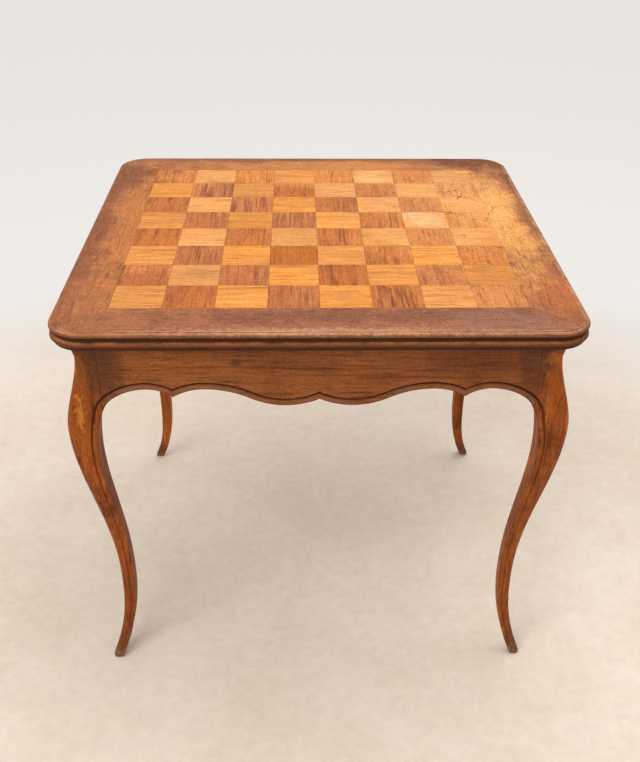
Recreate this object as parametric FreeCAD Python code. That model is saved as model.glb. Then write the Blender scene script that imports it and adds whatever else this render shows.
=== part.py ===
import FreeCAD, Part
import math
import os

# A square games table on four cabriole legs, in millimetres.
# Origin on the floor under the table's middle, +X to the right, +Y to the back, +Z up.
# The board is inlaid in a loose top. Two draw leaves lie under it, one to the front, one to the back.

V = FreeCAD.Vector
UP = V(0, 0, 1)
FAR = 2000.0

# Board and top
SQUARE = 84.0
SQUARES_A_SIDE = 8
SQUARE_THICK = 5.0
BORDER_WIDTH = 88.0
TOP_THICK = 16.0
CORNER_RADIUS = 58.0
TABLE_HEIGHT = 755.0
SEAM = 0.15
TONGUE_LENGTH = 8.0
TONGUE_THICK = 4.0
TONGUE_CLEARANCE = 0.2

# Moulded edge, shared by the top, the leaves and the centre board
MOULDING_DEPTH = 12.0
EDGE_REACH = 5.0
QUIRK_INSET = 7.0
QUIRK_DEPTH = 1.2
THUMB_DROP = 5.0
NOSE_FLAT = 1.5
THUMB_BULGE = 1.7
THUMB_FLATS = 3
COVE_HOLLOW = 1.8
COVE_FLATS = 2

# Draw leaves and the fixed centre board
LEAF_THICK = 15.4
CENTRE_WIDTH = 110.0
LEAF_END_GAP = 0.5
RUN_GAP = 0.3
BEARER_WIDTH = 22.0
BEARER_DEPTH = 32.0
BEARER_TIP_DEPTH = 20.0
BEARER_TAPER = 120.0
BEARER_SIDE_GAP = 0.5
FRONT_BEARER_X = 200.0
BACK_BEARER_X = 228.0
TAIL_GAP = 14.0
STOP_RADIUS = 6.0
STOP_DROP = 14.0
STOP_SEAT = 18.0
STOP_RAIL_GAP = 8.3

# Frame
OVERHANG_SIDE = 26.0
OVERHANG_END = 72.0
POST_WIDTH = 37.0
APRON_THICK = 22.0
APRON_RECESS = 0.3
BEAD_WIDTH = 15.0
BEAD_SINK = 4.5
RAIL_WIDTH = 30.0
RAIL_DEPTH = 62.0
RAIL_STUB = 8.0
HOUSING_CLEARANCE = 0.1

# Scalloped lower edge of the aprons, as drops below the frame's top
LOBE_DROP = 143.0
NOTCH_DROP = 130.7
ARCH_DROP = 111.5
CUSP_DROP = 126.5
END_RADIUS = 50.0
END_SPRING = 8.5
END_REACH = 3.0
END_SPAN = 74.0
FRONT_SCALLOP = {"lobe": 56.0, "arch": 191.0, "cusp_span": 44.0}
SIDE_SCALLOP = {"lobe": 40.0, "arch": 150.0, "cusp_span": 42.0}

# Mortise and tenon joints with drawbore pegs
TENON_LENGTH = 18.0
TENON_THICK = 10.0
TENON_TOP_DROP = 15.0
TENON_BOTTOM_DROP = 122.0
TENON_CLEARANCE = 0.1
PEG_RADIUS = 3.6
PEG_SIDES = 6
PEG_LENGTH = 29.0
PEG_CLEARANCE = 0.05
FRONT_PEG_DROPS = (38.0, 84.0)
SIDE_PEG_DROPS = (54.0, 100.0)

# Cabriole legs: outward offsets are from the post's outer face
FLARE_OUT = 13.0
FLARE_DROP = 51.0
FLARE_SWEEP = 1.15
KNEE_OUT = 20.5
KNEE_FALL = 22.0
KNEE_WIDTH = 49.5
KNEE_SWELL = 1.15
KNEE_TAPER = 1.8
ANKLE_OUT = -28.0
ANKLE_HEIGHT = 165.0
ANKLE_WIDTH = 24.0
TOE_OUT = -0.5
TOE_HEIGHT = 6.0
TOE_WIDTH = 19.0
FOOT_SWEEP = 2.5
ARRIS_EASE = 4.5
ARC_TOLERANCE = 0.9

# Corner blocks
BLOCK_REACH = 92.0
BLOCK_WIDTH = 34.0
BLOCK_HEIGHT = 42.0
BLOCK_DROP = 22.0

# Guide pegs of the loose top
GUIDE_RADIUS = 7.0
GUIDE_LENGTH = 72.0
GUIDE_SEAT = 7.0
GUIDE_CLEARANCE = 0.4
GUIDE_X = 120.0
GUIDE_Y = 34.0

# Derived places
TOP_SIDE = SQUARE * SQUARES_A_SIDE + 2 * BORDER_WIDTH
HALF_TOP = TOP_SIDE / 2
HALF_BOARD = SQUARE * SQUARES_A_SIDE / 2
HALF_CENTRE = CENTRE_WIDTH / 2
LEAF_INNER = HALF_CENTRE + LEAF_END_GAP
CENTRE_THICK = LEAF_THICK + 2 * RUN_GAP
Z_UNDER_TOP = TABLE_HEIGHT - TOP_THICK
Z_FRAME = Z_UNDER_TOP - CENTRE_THICK
Z_LEAF = Z_FRAME + RUN_GAP
FRAME_X = HALF_TOP - OVERHANG_SIDE
FRAME_Y = HALF_TOP - OVERHANG_END
FACE_X = FRAME_X - APRON_RECESS
FACE_Y = FRAME_Y - APRON_RECESS
INNER_X = FACE_X - APRON_THICK
INNER_Y = FACE_Y - APRON_THICK
SHOULDER_X = FRAME_X - POST_WIDTH
SHOULDER_Y = FRAME_Y - POST_WIDTH
END_INSIDE = END_RADIUS - END_REACH
END_RISE = math.sqrt(END_RADIUS**2 - END_INSIDE**2)
Z_END = Z_FRAME - ARCH_DROP - END_RADIUS - END_SPRING
Z_SPRING = Z_END + END_RISE
Z_KNEE = Z_SPRING - KNEE_FALL
STOP_REACH = STOP_RADIUS * math.cos(math.pi / PEG_SIDES)
Y_STOP = RAIL_WIDTH / 2 + STOP_RAIL_GAP + STOP_REACH
LEAF_DRAW = INNER_Y - STOP_REACH - Y_STOP


def box(x0, x1, y0, y1, z0, z1):
    """Block between two opposite corners."""
    return Part.makeBox(x1 - x0, y1 - y0, z1 - z0, V(x0, y0, z0))


def cylinder(radius, start, end):
    """Round bar from one point to another."""
    along = end - start
    return Part.makeCylinder(radius, along.Length, start, along)


def riven_bar(radius, start, end):
    """Many-sided bar square to X, such as a riven peg."""
    across = V(1, 0, 0)
    upright = V(end - start).normalize().cross(across)
    outline = []
    for side in range(PEG_SIDES + 1):
        turn = math.pi * (2 * side + 1) / PEG_SIDES
        outline.append(start + across * (radius * math.cos(turn)) + upright * (radius * math.sin(turn)))
    return Part.Face(Part.makePolygon(outline)).extrude(end - start)


def prism(points, z0, z1):
    """Upright prism on a closed outline of (x, y) points."""
    corners = [V(x, y, z0) for x, y in points]
    outline = Part.makePolygon(corners + corners[:1])
    return Part.Face(outline).extrude(V(0, 0, z1 - z0))


def turned(shape, angle):
    """Copy of a shape turned about the table's upright axis, in degrees."""
    copy = shape.copy()
    copy.rotate(V(0, 0, 0), UP, angle)
    return copy


def mirrored(shape, across_x, across_y):
    """Copy of a shape for another corner of the table."""
    copy = shape.copy()
    if across_x:
        copy = copy.mirror(V(0, 0, 0), V(1, 0, 0))
    if across_y:
        copy = copy.mirror(V(0, 0, 0), V(0, 1, 0))
    return copy


def one_solid(shape):
    """The single solid that a cut or a common left."""
    shape = shape.removeSplitter()
    assert len(shape.Solids) == 1, len(shape.Solids)
    return shape.Solids[0]


def through(start, middle, end):
    """Arc through three points."""
    return Part.Arc(start, middle, end).toShape()


def straight(start, end):
    """Straight edge."""
    return Part.LineSegment(start, end).toShape()


def edge_profile(thick, z0):
    """Section of the moulded edge on the +X side: quirk, thumb, nose and cove."""
    back = HALF_TOP - MOULDING_DEPTH
    root = HALF_TOP - EDGE_REACH
    z_top = z0 + thick
    quirk = HALF_TOP - QUIRK_INSET
    z_quirk = z_top - QUIRK_DEPTH
    z_nose = z_quirk - THUMB_DROP
    z_fillet = z_nose - NOSE_FLAT
    thumb = [V(quirk, 0, z_quirk), V(HALF_TOP, 0, z_nose)]
    cove = [V(HALF_TOP, 0, z_fillet), V(root, 0, z0)]
    points = [V(back, 0, z0), V(back, 0, z_top), V(quirk, 0, z_top)]
    points += flats_of(thumb, V(THUMB_BULGE, 0, THUMB_BULGE), THUMB_FLATS)
    points += flats_of(cove, V(-COVE_HOLLOW, 0, COVE_HOLLOW), COVE_FLATS)
    return Part.Face(Part.makePolygon(points + points[:1]))


def flats_of(ends, bulge, flats):
    """Points that work the arc between two ends in flats."""
    middle = (ends[0] + ends[1]) * 0.5 + bulge
    return through(ends[0], middle, ends[1]).discretize(flats + 1)


def moulded_slab(thick, z0):
    """Square board with round corners and the moulded edge all round."""
    centre = HALF_TOP - CORNER_RADIUS
    back = HALF_TOP - MOULDING_DEPTH
    profile = edge_profile(thick, z0)
    profile.translate(V(0, -centre, 0))
    side = profile.extrude(V(0, 2 * centre, 0))
    profile.translate(V(0, 2 * centre, 0))
    corner = profile.revolve(V(centre, centre, 0), UP, 90)
    quarter = Part.makeCylinder(back - centre, thick, V(centre, centre, z0))
    body = box(-back, back, -centre, centre, z0, z0 + thick)
    body = body.fuse(box(-centre, centre, -back, back, z0, z0 + thick))
    pieces = []
    for angle in (0, 90, 180, 270):
        pieces += [turned(side, angle), turned(corner, angle), turned(quarter, angle)]
    return one_solid(body.fuse(pieces))


def mitre_wedge(inner, angle):
    """Plan of one mitred border length, on the front side before turning."""
    gap = SEAM / 2
    points = [(-inner + gap, -inner - gap), (inner - gap, -inner - gap)]
    points += [(FAR - gap, -FAR - gap), (-FAR + gap, -FAR - gap)]
    return turned(prism(points, -FAR, FAR), angle)


def tongue_ring(half_x, y0, y1, z_middle, thick, length):
    """Band that reaches out from a panel's edges into its border."""
    low = z_middle - thick / 2
    return box(-half_x - length, half_x + length, y0, y1, low, low + thick)


SIDES = {"front": 0, "right": 90, "back": 180, "left": 270}


def build_top():
    """Loose top: core, mitred border, light and dark squares, guide pegs."""
    nodes = {}
    slab = moulded_slab(TOP_THICK, Z_UNDER_TOP)
    z_bed = TABLE_HEIGHT - SQUARE_THICK
    z_tongue = (Z_UNDER_TOP + z_bed) / 2
    reach = HALF_BOARD + TONGUE_LENGTH
    core = box(-HALF_BOARD, HALF_BOARD, -HALF_BOARD, HALF_BOARD, Z_UNDER_TOP, z_bed)
    tongue = tongue_ring(HALF_BOARD, -reach, reach, z_tongue, TONGUE_THICK, TONGUE_LENGTH)
    groove_reach = TONGUE_LENGTH + TONGUE_CLEARANCE
    groove_half = HALF_BOARD + groove_reach
    groove_thick = TONGUE_THICK + 2 * TONGUE_CLEARANCE
    groove = tongue_ring(HALF_BOARD, -groove_half, groove_half, z_tongue, groove_thick, groove_reach)
    for name, angle in SIDES.items():
        piece = slab.common(mitre_wedge(HALF_BOARD, angle)).cut(groove)
        nodes["top_border_" + name] = one_solid(piece)
    core = core.fuse(tongue)
    pegs = []
    for sign in (-1, 1):
        place = V(sign * GUIDE_X, -sign * GUIDE_Y, 0)
        peg, seat = guide_peg(place)
        pegs.append(peg)
        core = core.cut(seat)
    nodes["top_core"] = one_solid(core)
    nodes["top_guide_pegs"] = Part.makeCompound(pegs)
    light, dark = [], []
    for column in range(SQUARES_A_SIDE):
        for row in range(SQUARES_A_SIDE):
            x0 = column * SQUARE - HALF_BOARD
            y0 = row * SQUARE - HALF_BOARD
            gap = SEAM / 2
            tile = box(x0 + gap, x0 + SQUARE - gap, y0 + gap, y0 + SQUARE - gap, z_bed, TABLE_HEIGHT)
            (dark if (column + row) % 2 else light).append(tile)
    nodes["light_squares"] = Part.makeCompound(light)
    nodes["dark_squares"] = Part.makeCompound(dark)
    return nodes


def guide_peg(place):
    """Peg under the top, and the hole it is glued into."""
    tip = place + UP * (Z_UNDER_TOP - GUIDE_LENGTH)
    end = place + UP * (Z_UNDER_TOP + GUIDE_SEAT)
    return cylinder(GUIDE_RADIUS, tip, end), cylinder(GUIDE_RADIUS + PEG_CLEARANCE, tip, end)


def build_leaf(name, angle, bearer_x):
    """One draw leaf with its border, bearers and stops, built to the front and turned."""
    nodes = {}
    slab = moulded_slab(LEAF_THICK, Z_LEAF)
    half_plan = box(-FAR, FAR, -FAR, -LEAF_INNER, -FAR, FAR)
    slab = slab.common(half_plan)
    field = HALF_TOP - BORDER_WIDTH
    z_tongue = Z_LEAF + LEAF_THICK / 2
    panel = box(-field, field, -field, -LEAF_INNER, Z_LEAF, Z_LEAF + LEAF_THICK)
    tongue = tongue_ring(
        field, -field - TONGUE_LENGTH, -LEAF_INNER, z_tongue, TONGUE_THICK, TONGUE_LENGTH
    )
    groove_reach = TONGUE_LENGTH + TONGUE_CLEARANCE
    groove_thick = TONGUE_THICK + 2 * TONGUE_CLEARANCE
    groove = tongue_ring(field, -field - groove_reach, 0, z_tongue, groove_thick, groove_reach)
    hands = ("right", "left") if angle else ("left", "right")
    for side, turn in (("end", 0), (hands[1], 90), (hands[0], 270)):
        border = slab.common(mitre_wedge(field, turn)).cut(groove)
        nodes["border_" + side] = one_solid(border)
    panel = panel.fuse(tongue)
    stops = []
    for sign, hand in zip((-1, 1), hands):
        nodes["bearer_" + hand], stop = leaf_bearer(sign * bearer_x)
        stops.append(stop)
    nodes["panel"] = one_solid(panel)
    nodes["stop_pegs"] = Part.makeCompound(stops)
    return {"leaf_" + name + "_" + key: turned(shape, angle) for key, shape in nodes.items()}


def leaf_bearer(x):
    """Bearer that carries the front leaf, with a lowered and tapered tail, and its stop peg."""
    z_low = Z_LEAF - BEARER_DEPTH
    z_tail = Z_FRAME - RUN_GAP
    y_tail = INNER_Y - TAIL_GAP
    outline = [(-FACE_Y, Z_LEAF), (-LEAF_INNER, Z_LEAF), (-LEAF_INNER, z_tail), (y_tail, z_tail)]
    outline += [(y_tail, z_tail - BEARER_TIP_DEPTH), (y_tail - BEARER_TAPER, z_low), (-FACE_Y, z_low)]
    corners = [V(x - BEARER_WIDTH / 2, y, z) for y, z in outline]
    bearer = Part.Face(Part.makePolygon(corners + corners[:1])).extrude(V(BEARER_WIDTH, 0, 0))
    foot = V(x, -Y_STOP, z_low - STOP_DROP)
    head = foot + UP * (STOP_DROP + STOP_SEAT)
    stop, seat = riven_bar(STOP_RADIUS, foot, head), riven_bar(STOP_RADIUS + PEG_CLEARANCE, foot, head)
    return one_solid(bearer.cut(seat)), stop


def circle_meet(centre_a, radius_a, centre_b, radius_b):
    """Upper crossing of two circles in the X-Z plane."""
    between = centre_b - centre_a
    span = between.Length
    along = (span**2 + radius_a**2 - radius_b**2) / (2 * span)
    off = math.sqrt(radius_a**2 - along**2)
    direction = between * (1 / span)
    return centre_a + direction * along + V(-direction.z, 0, direction.x) * off


def arc_about(centre, start, end):
    """Arc of under a half circle about a centre."""
    radius = (start - centre).Length
    middle = ((start - centre) + (end - centre)).normalize() * radius + centre
    return through(start, middle, end)


def rise_radius(run, rise):
    """Radius of an arc that starts level and rises or falls by rise over run."""
    return (run**2 + rise**2) / (2 * abs(rise))


def scallop_half(shoulder, scallop, inset):
    """Right half of an apron's lower edge, moved into the wood by inset, as arcs from the middle out."""
    z_lobe, z_notch = Z_FRAME - LOBE_DROP, Z_FRAME - NOTCH_DROP
    z_arch, z_cusp = Z_FRAME - ARCH_DROP, Z_FRAME - CUSP_DROP
    lobe, arch = scallop["lobe"], scallop["arch"]
    end_arch = shoulder - END_SPAN
    cusp = end_arch - scallop["cusp_span"]
    lobe_radius = rise_radius(lobe, z_notch - z_lobe)
    both_radii = rise_radius(arch - lobe, z_arch - z_lobe)
    arch_in_radius = both_radii - lobe_radius
    arch_out_radius = rise_radius(cusp - arch, z_arch - z_cusp)
    end_in_radius = rise_radius(end_arch - cusp, z_arch - z_cusp)
    end_run = END_SPAN - END_INSIDE
    end_fall = z_arch - Z_END
    end_out_radius = (end_run**2 + end_fall**2 - END_RADIUS**2) / (2 * END_SPRING)
    lobe_centre = V(lobe, 0, z_lobe + lobe_radius)
    arch_in_centre = V(arch, 0, z_arch - arch_in_radius)
    arch_out_centre = V(arch, 0, z_arch - arch_out_radius)
    end_in_centre = V(end_arch, 0, z_arch - end_in_radius)
    end_out_centre = V(end_arch, 0, z_arch - end_out_radius)
    end_centre = V(shoulder - END_INSIDE, 0, Z_END)
    notch_fall = math.sqrt((lobe_radius - inset) ** 2 - lobe**2)
    notch = V(0, 0, lobe_centre.z - notch_fall)
    turn_in = lobe_centre + (arch_in_centre - lobe_centre).normalize() * (lobe_radius - inset)
    peak = V(arch, 0, z_arch + inset)
    point = circle_meet(
        end_in_centre, end_in_radius + inset, arch_out_centre, arch_out_radius + inset
    )
    if point.z < end_in_centre.z:
        point = circle_meet(
            arch_out_centre, arch_out_radius + inset, end_in_centre, end_in_radius + inset
        )
    end_peak = V(end_arch, 0, z_arch + inset)
    outward = (end_centre - end_out_centre).normalize()
    turn_out = end_out_centre + outward * (end_out_radius + inset)
    end_rise = math.sqrt((END_RADIUS + inset) ** 2 - END_INSIDE**2)
    end = V(shoulder, 0, Z_END + end_rise)
    edges = [arc_about(lobe_centre, notch, turn_in), arc_about(arch_in_centre, turn_in, peak)]
    edges += [arc_about(arch_out_centre, peak, point), arc_about(end_in_centre, point, end_peak)]
    edges += [arc_about(end_out_centre, end_peak, turn_out), arc_about(end_centre, turn_out, end)]
    return edges, end


def scallop_face(shoulder, scallop, inset):
    """Upright face of an apron between its shoulders and above its lower edge."""
    half, end = scallop_half(shoulder, scallop, inset)
    other = [edge.mirror(V(0, 0, 0), V(1, 0, 0)) for edge in half]
    top_right, top_left = V(shoulder, 0, Z_FRAME), V(-shoulder, 0, Z_FRAME)
    low_left = V(-shoulder, 0, end.z)
    edges = half + other + [straight(end, top_right), straight(top_right, top_left)]
    edges.append(straight(top_left, low_left))
    return outline_face(edges)


def apron(shoulder, scallop, face):
    """Front apron with its tenons and a sunk bead along its lower edge, its outer face towards -Y."""
    board = scallop_face(shoulder, scallop, 0.0)
    board.translate(V(0, -face, 0))
    board = board.extrude(V(0, APRON_THICK, 0))
    band = scallop_face(shoulder, scallop, 0.0).cut(scallop_face(shoulder, scallop, BEAD_WIDTH))
    band.translate(V(0, -face, 0))
    board = board.cut(band.extrude(V(0, BEAD_SINK, 0)))
    for sign in (-1, 1):
        board = board.fuse(tenon(sign, shoulder, face, 0.0))
    return board


def tenon(sign, shoulder, face, clearance):
    """Tenon at one end of a front apron, or its mortise when given a clearance."""
    y_middle = -face + APRON_THICK / 2
    half = TENON_THICK / 2 + clearance
    length = TENON_LENGTH + clearance
    ends = sorted((sign * shoulder, sign * (shoulder + length)))
    z_low = Z_FRAME - TENON_BOTTOM_DROP - clearance
    z_high = Z_FRAME - TENON_TOP_DROP + clearance
    return box(ends[0], ends[1], y_middle - half, y_middle + half, z_low, z_high)


def peg_bars(sign, shoulder, frame, drops, clearance):
    """Bars of the drawbore pegs at one end of a front apron."""
    x = sign * (shoulder + TENON_LENGTH / 2)
    bars = []
    for drop in drops:
        start = V(x, -frame - KNEE_OUT, Z_FRAME - drop)
        end = V(x, -frame + PEG_LENGTH, Z_FRAME - drop)
        bars.append(riven_bar(PEG_RADIUS + clearance, start, end))
    return bars


def leg_outlines():
    """Outer and inner outline of a leg as (height, offset from the post's outer face), toe first."""
    z_neck = Z_FRAME - FLARE_DROP
    stations = [(0.0, TOE_OUT, TOE_WIDTH)]
    for share in (1.0, 0.7, 0.4):
        height = ANKLE_HEIGHT + (TOE_HEIGHT - ANKLE_HEIGHT) * share
        out = ANKLE_OUT + (TOE_OUT - ANKLE_OUT) * share**FOOT_SWEEP
        stations.append((height, out, ANKLE_WIDTH + (TOE_WIDTH - ANKLE_WIDTH) * share))
    for share in (0.0, 0.25, 0.5, 0.75, 1.0):
        height = ANKLE_HEIGHT + (Z_KNEE - ANKLE_HEIGHT) * share
        swell = share**KNEE_SWELL
        out = ANKLE_OUT + (KNEE_OUT - ANKLE_OUT) * swell * swell * (3 - 2 * swell)
        stations.append((height, out, ANKLE_WIDTH + (KNEE_WIDTH - ANKLE_WIDTH) * share**KNEE_TAPER))
    outer = [(height, out) for height, out, width in stations]
    inner = [(height, out - width) for height, out, width in stations]
    inner.append((Z_SPRING, -POST_WIDTH))
    for share in (0.3, 0.6, 1.0):
        out = KNEE_OUT * (1 - share * share * (3 - 2 * share))
        outer.append((Z_KNEE + (z_neck - Z_KNEE) * share, out))
    for share in (0.5, 1.0):
        outer.append((z_neck + FLARE_DROP * share, FLARE_OUT * share**FLARE_SWEEP))
    return outer, inner


def smooth(points, **ends):
    """Smooth outline through points, as tangent arcs."""
    curve = Part.BSplineCurve()
    curve.interpolate(Points=points, **ends)
    return [arc.toShape() for arc in curve.toBiArcs(ARC_TOLERANCE)]


def outline_face(edges):
    """Face inside a closed set of edges given in any order."""
    return Part.Face(Part.Wire(Part.__sortEdges__(edges)))


def sawn(frame):
    """Leg sawn to its outline from the front, at one distance of the post's outer face."""
    outer, inner = leg_outlines()
    outer = [V(frame + offset, 0, height) for height, offset in outer]
    inner = [V(frame + offset, 0, height) for height, offset in inner]
    post_top = V(frame - POST_WIDTH, 0, Z_FRAME)
    edges = smooth(outer) + smooth(inner, FinalTangent=V(-END_RISE, 0, END_INSIDE))
    edges += [straight(inner[-1], post_top), straight(post_top, outer[-1]), straight(outer[0], inner[0])]
    return outline_face(edges).extrude(V(0, FAR, 0))


def eased():
    """What the easing of a leg's outer arris leaves, cut to its outline on the diagonal."""
    corner = (FRAME_X + FRAME_Y) / math.sqrt(2) - ARRIS_EASE
    outer = [V(corner + math.sqrt(2) * offset, -FAR, height) for height, offset in leg_outlines()[0]]
    low, high = V(0, -FAR, 0), V(0, -FAR, Z_FRAME)
    edges = smooth(outer) + [straight(outer[0], low), straight(low, high), straight(high, outer[-1])]
    return turned(outline_face(edges).extrude(V(0, 2 * FAR, 0)), 45)


def leg_blank():
    """Cabriole leg of the +X +Y corner: one outline sawn from two sides, its outer arris eased."""
    from_side = sawn(FRAME_Y).mirror(V(0, 0, 0), V(1, -1, 0))
    return one_solid(sawn(FRAME_X).common(from_side).common(eased()))


def build_frame():
    """Legs, aprons, pegs, corner blocks, cross rail and centre board."""
    nodes = {}
    front = apron(SHOULDER_X, FRONT_SCALLOP, FACE_Y)
    side = apron(SHOULDER_Y, SIDE_SCALLOP, FACE_X)
    blank = leg_blank()
    front_bars = peg_bars(-1, SHOULDER_X, FRAME_Y, FRONT_PEG_DROPS, 0.0)
    side_bars = [turned(bar, -90) for bar in peg_bars(1, SHOULDER_Y, FRAME_X, SIDE_PEG_DROPS, 0.0)]
    front_holes = peg_bars(-1, SHOULDER_X, FRAME_Y, FRONT_PEG_DROPS, PEG_CLEARANCE)
    side_holes = peg_bars(1, SHOULDER_Y, FRAME_X, SIDE_PEG_DROPS, PEG_CLEARANCE)
    side_holes = [turned(bar, -90) for bar in side_holes]
    front_left = mirrored(blank, True, True)
    pegs = [bar.common(front_left).Solids[0] for bar in front_bars + side_bars]
    mortises = tenon(-1, SHOULDER_X, FACE_Y, TENON_CLEARANCE)
    mortises = mortises.fuse(turned(tenon(1, SHOULDER_Y, FACE_X, TENON_CLEARANCE), -90))
    leg = one_solid(front_left.cut(mortises).cut(front_holes + side_holes))
    all_pegs = []
    for name, flip_x, flip_y in (
        ("front_left", False, False),
        ("front_right", True, False),
        ("back_left", False, True),
        ("back_right", True, True),
    ):
        nodes["leg_" + name] = mirrored(leg, flip_x, flip_y)
        all_pegs += [mirrored(peg, flip_x, flip_y) for peg in pegs]
    nodes["drawbore_pegs"] = Part.makeCompound(all_pegs)
    for sign in (-1, 1):
        front = front.cut(peg_bars(sign, SHOULDER_X, FRAME_Y, FRONT_PEG_DROPS, PEG_CLEARANCE))
        side = side.cut(peg_bars(sign, SHOULDER_Y, FRAME_X, SIDE_PEG_DROPS, PEG_CLEARANCE))
    rail, housing = cross_rail()
    side = side.cut(housing)
    nodes["cross_rail"] = rail
    nodes["centre_board"] = centre_board()
    nodes.update(corner_blocks())
    aprons = {
        "apron_front": front.cut(bearer_notches(FRONT_BEARER_X)),
        "apron_back": turned(front.cut(bearer_notches(BACK_BEARER_X)), 180),
        "apron_left": turned(side, -90),
        "apron_right": turned(side, 90),
    }
    for name, shape in aprons.items():
        nodes[name] = one_solid(shape)
    return nodes


def bearer_notches(x):
    """Open notches at the top of a front apron for one leaf's pair of bearers."""
    half = BEARER_WIDTH / 2 + BEARER_SIDE_GAP
    low = Z_LEAF - BEARER_DEPTH - RUN_GAP
    notches = [box(s * x - half, s * x + half, -FAR, 0, low, FAR) for s in (-1, 1)]
    return notches[0].fuse(notches[1])


def cross_rail():
    """Rail under the centre board with a notch for each bearer, and the housing for its ends."""
    half = RAIL_WIDTH / 2
    reach = INNER_X + RAIL_STUB
    rail = box(-reach, reach, -half, half, Z_FRAME - RAIL_DEPTH, Z_FRAME)
    for x in (FRONT_BEARER_X, BACK_BEARER_X):
        notches = bearer_notches(x)
        rail = rail.cut(notches).cut(turned(notches, 180))
    fit = HOUSING_CLEARANCE
    depth = INNER_X + RAIL_STUB + fit
    housing = box(-half - fit, half + fit, -depth, 0, Z_FRAME - RAIL_DEPTH - fit, FAR)
    return one_solid(rail), housing


def centre_board():
    """Fixed board between the leaves, with holes for the top's guide pegs."""
    board = moulded_slab(CENTRE_THICK, Z_FRAME)
    board = board.common(box(-FAR, FAR, -HALF_CENTRE, HALF_CENTRE, -FAR, FAR))
    for sign in (-1, 1):
        place = V(sign * GUIDE_X, -sign * GUIDE_Y, 0)
        board = board.cut(cylinder(GUIDE_RADIUS + GUIDE_CLEARANCE, place, place + UP * FAR))
    return one_solid(board)


def corner_blocks():
    """Diagonal blocks across the frame's corners, glued to the aprons."""
    far, near = BLOCK_REACH, BLOCK_REACH - BLOCK_WIDTH * math.sqrt(2)
    outline = [(INNER_X, INNER_Y - far), (INNER_X, INNER_Y - near)]
    outline += [(INNER_X - near, INNER_Y), (INNER_X - far, INNER_Y)]
    z_high = Z_FRAME - BLOCK_DROP
    block = prism(outline, z_high - BLOCK_HEIGHT, z_high)
    return {
        "corner_block_back_right": block,
        "corner_block_back_left": mirrored(block, True, False),
        "corner_block_front_right": mirrored(block, False, True),
        "corner_block_front_left": mirrored(block, True, True),
    }


def build():
    """Every node of the table by name."""
    nodes = build_frame()
    nodes.update(build_top())
    nodes.update(build_leaf("front", 0, FRONT_BEARER_X))
    nodes.update(build_leaf("back", 180, BACK_BEARER_X))
    return nodes


os.makedirs("parts", exist_ok=True)
for node, shape in build().items():
    shape.exportStep("parts/" + node + ".step")
    print(node, len(shape.Solids), round(shape.Volume / 1000, 1), "cm3", shape.isValid())
print("A leaf draws out", round(LEAF_DRAW, 1), "mm to its stops")
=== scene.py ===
"""Looks of a square games table: inlaid board, moulded top, draw leaves, scalloped aprons and cabriole legs."""

import logging
import math
from collections.abc import Iterable
from dataclasses import dataclass, replace
from enum import Enum
from typing import ClassVar

import bmesh
import bpy
from mathutils import Matrix, Vector


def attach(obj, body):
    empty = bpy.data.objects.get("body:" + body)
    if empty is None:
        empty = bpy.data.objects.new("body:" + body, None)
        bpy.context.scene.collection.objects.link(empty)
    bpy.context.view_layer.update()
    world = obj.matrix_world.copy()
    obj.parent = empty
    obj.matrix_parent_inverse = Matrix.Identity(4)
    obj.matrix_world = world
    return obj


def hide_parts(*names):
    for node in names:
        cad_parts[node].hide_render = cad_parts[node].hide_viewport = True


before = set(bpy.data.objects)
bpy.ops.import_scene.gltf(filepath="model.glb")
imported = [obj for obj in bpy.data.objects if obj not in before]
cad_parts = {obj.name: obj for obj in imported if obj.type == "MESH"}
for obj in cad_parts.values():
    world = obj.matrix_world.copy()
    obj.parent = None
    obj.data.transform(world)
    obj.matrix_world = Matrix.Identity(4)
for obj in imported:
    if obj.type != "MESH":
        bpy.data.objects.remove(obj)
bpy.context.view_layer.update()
LOG = logging.getLogger("games_table")
MM = 0.001
WELD = 1e-6
SLIVER = 1e-7
SHARP = math.radians(32)

Point = tuple[float, float, float]
Plan = tuple[float, float]
Colour = tuple[float, float, float]
Shell = tuple[list[Point], list[tuple[int, ...]]]
Socket = bpy.types.NodeSocket


def smoothstep(share: float) -> float:
    """Ease a share between 0 and 1."""
    share = min(max(share, 0.0), 1.0)
    return share * share * (3 - 2 * share)


class Grain(Enum):
    """Axis that a wood's grain follows, as the order (along, across, through)."""

    ALONG_X = (0, 1, 2)
    ALONG_Y = (1, 0, 2)
    ALONG_Z = (2, 0, 1)


class Side(Enum):
    """Side of the table, as the turn in degrees that brings a front piece there."""

    FRONT = 0
    RIGHT = 90
    BACK = 180
    LEFT = 270

    def place(self, x: float, y: float, z: float) -> Point:
        """Turn a point of a front piece to this side.

        Args:
            x: distance to the right.
            y: distance to the back.
            z: height.

        Returns:
            The point.
        """
        turn = math.radians(self.value)
        cosine, sine = round(math.cos(turn)), round(math.sin(turn))
        return (x * cosine - y * sine, x * sine + y * cosine, z)


@dataclass(frozen=True)
class Cloud:
    """A cloudy pattern: its noise, and the stretch of values that shows."""

    scale: float
    detail: float
    rough: float
    low: float
    high: float


@dataclass(frozen=True)
class Strand:
    """A pattern drawn out along the grain: how often it changes along and across, and its noise."""

    along: float
    across: float
    detail: float
    rough: float


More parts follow.
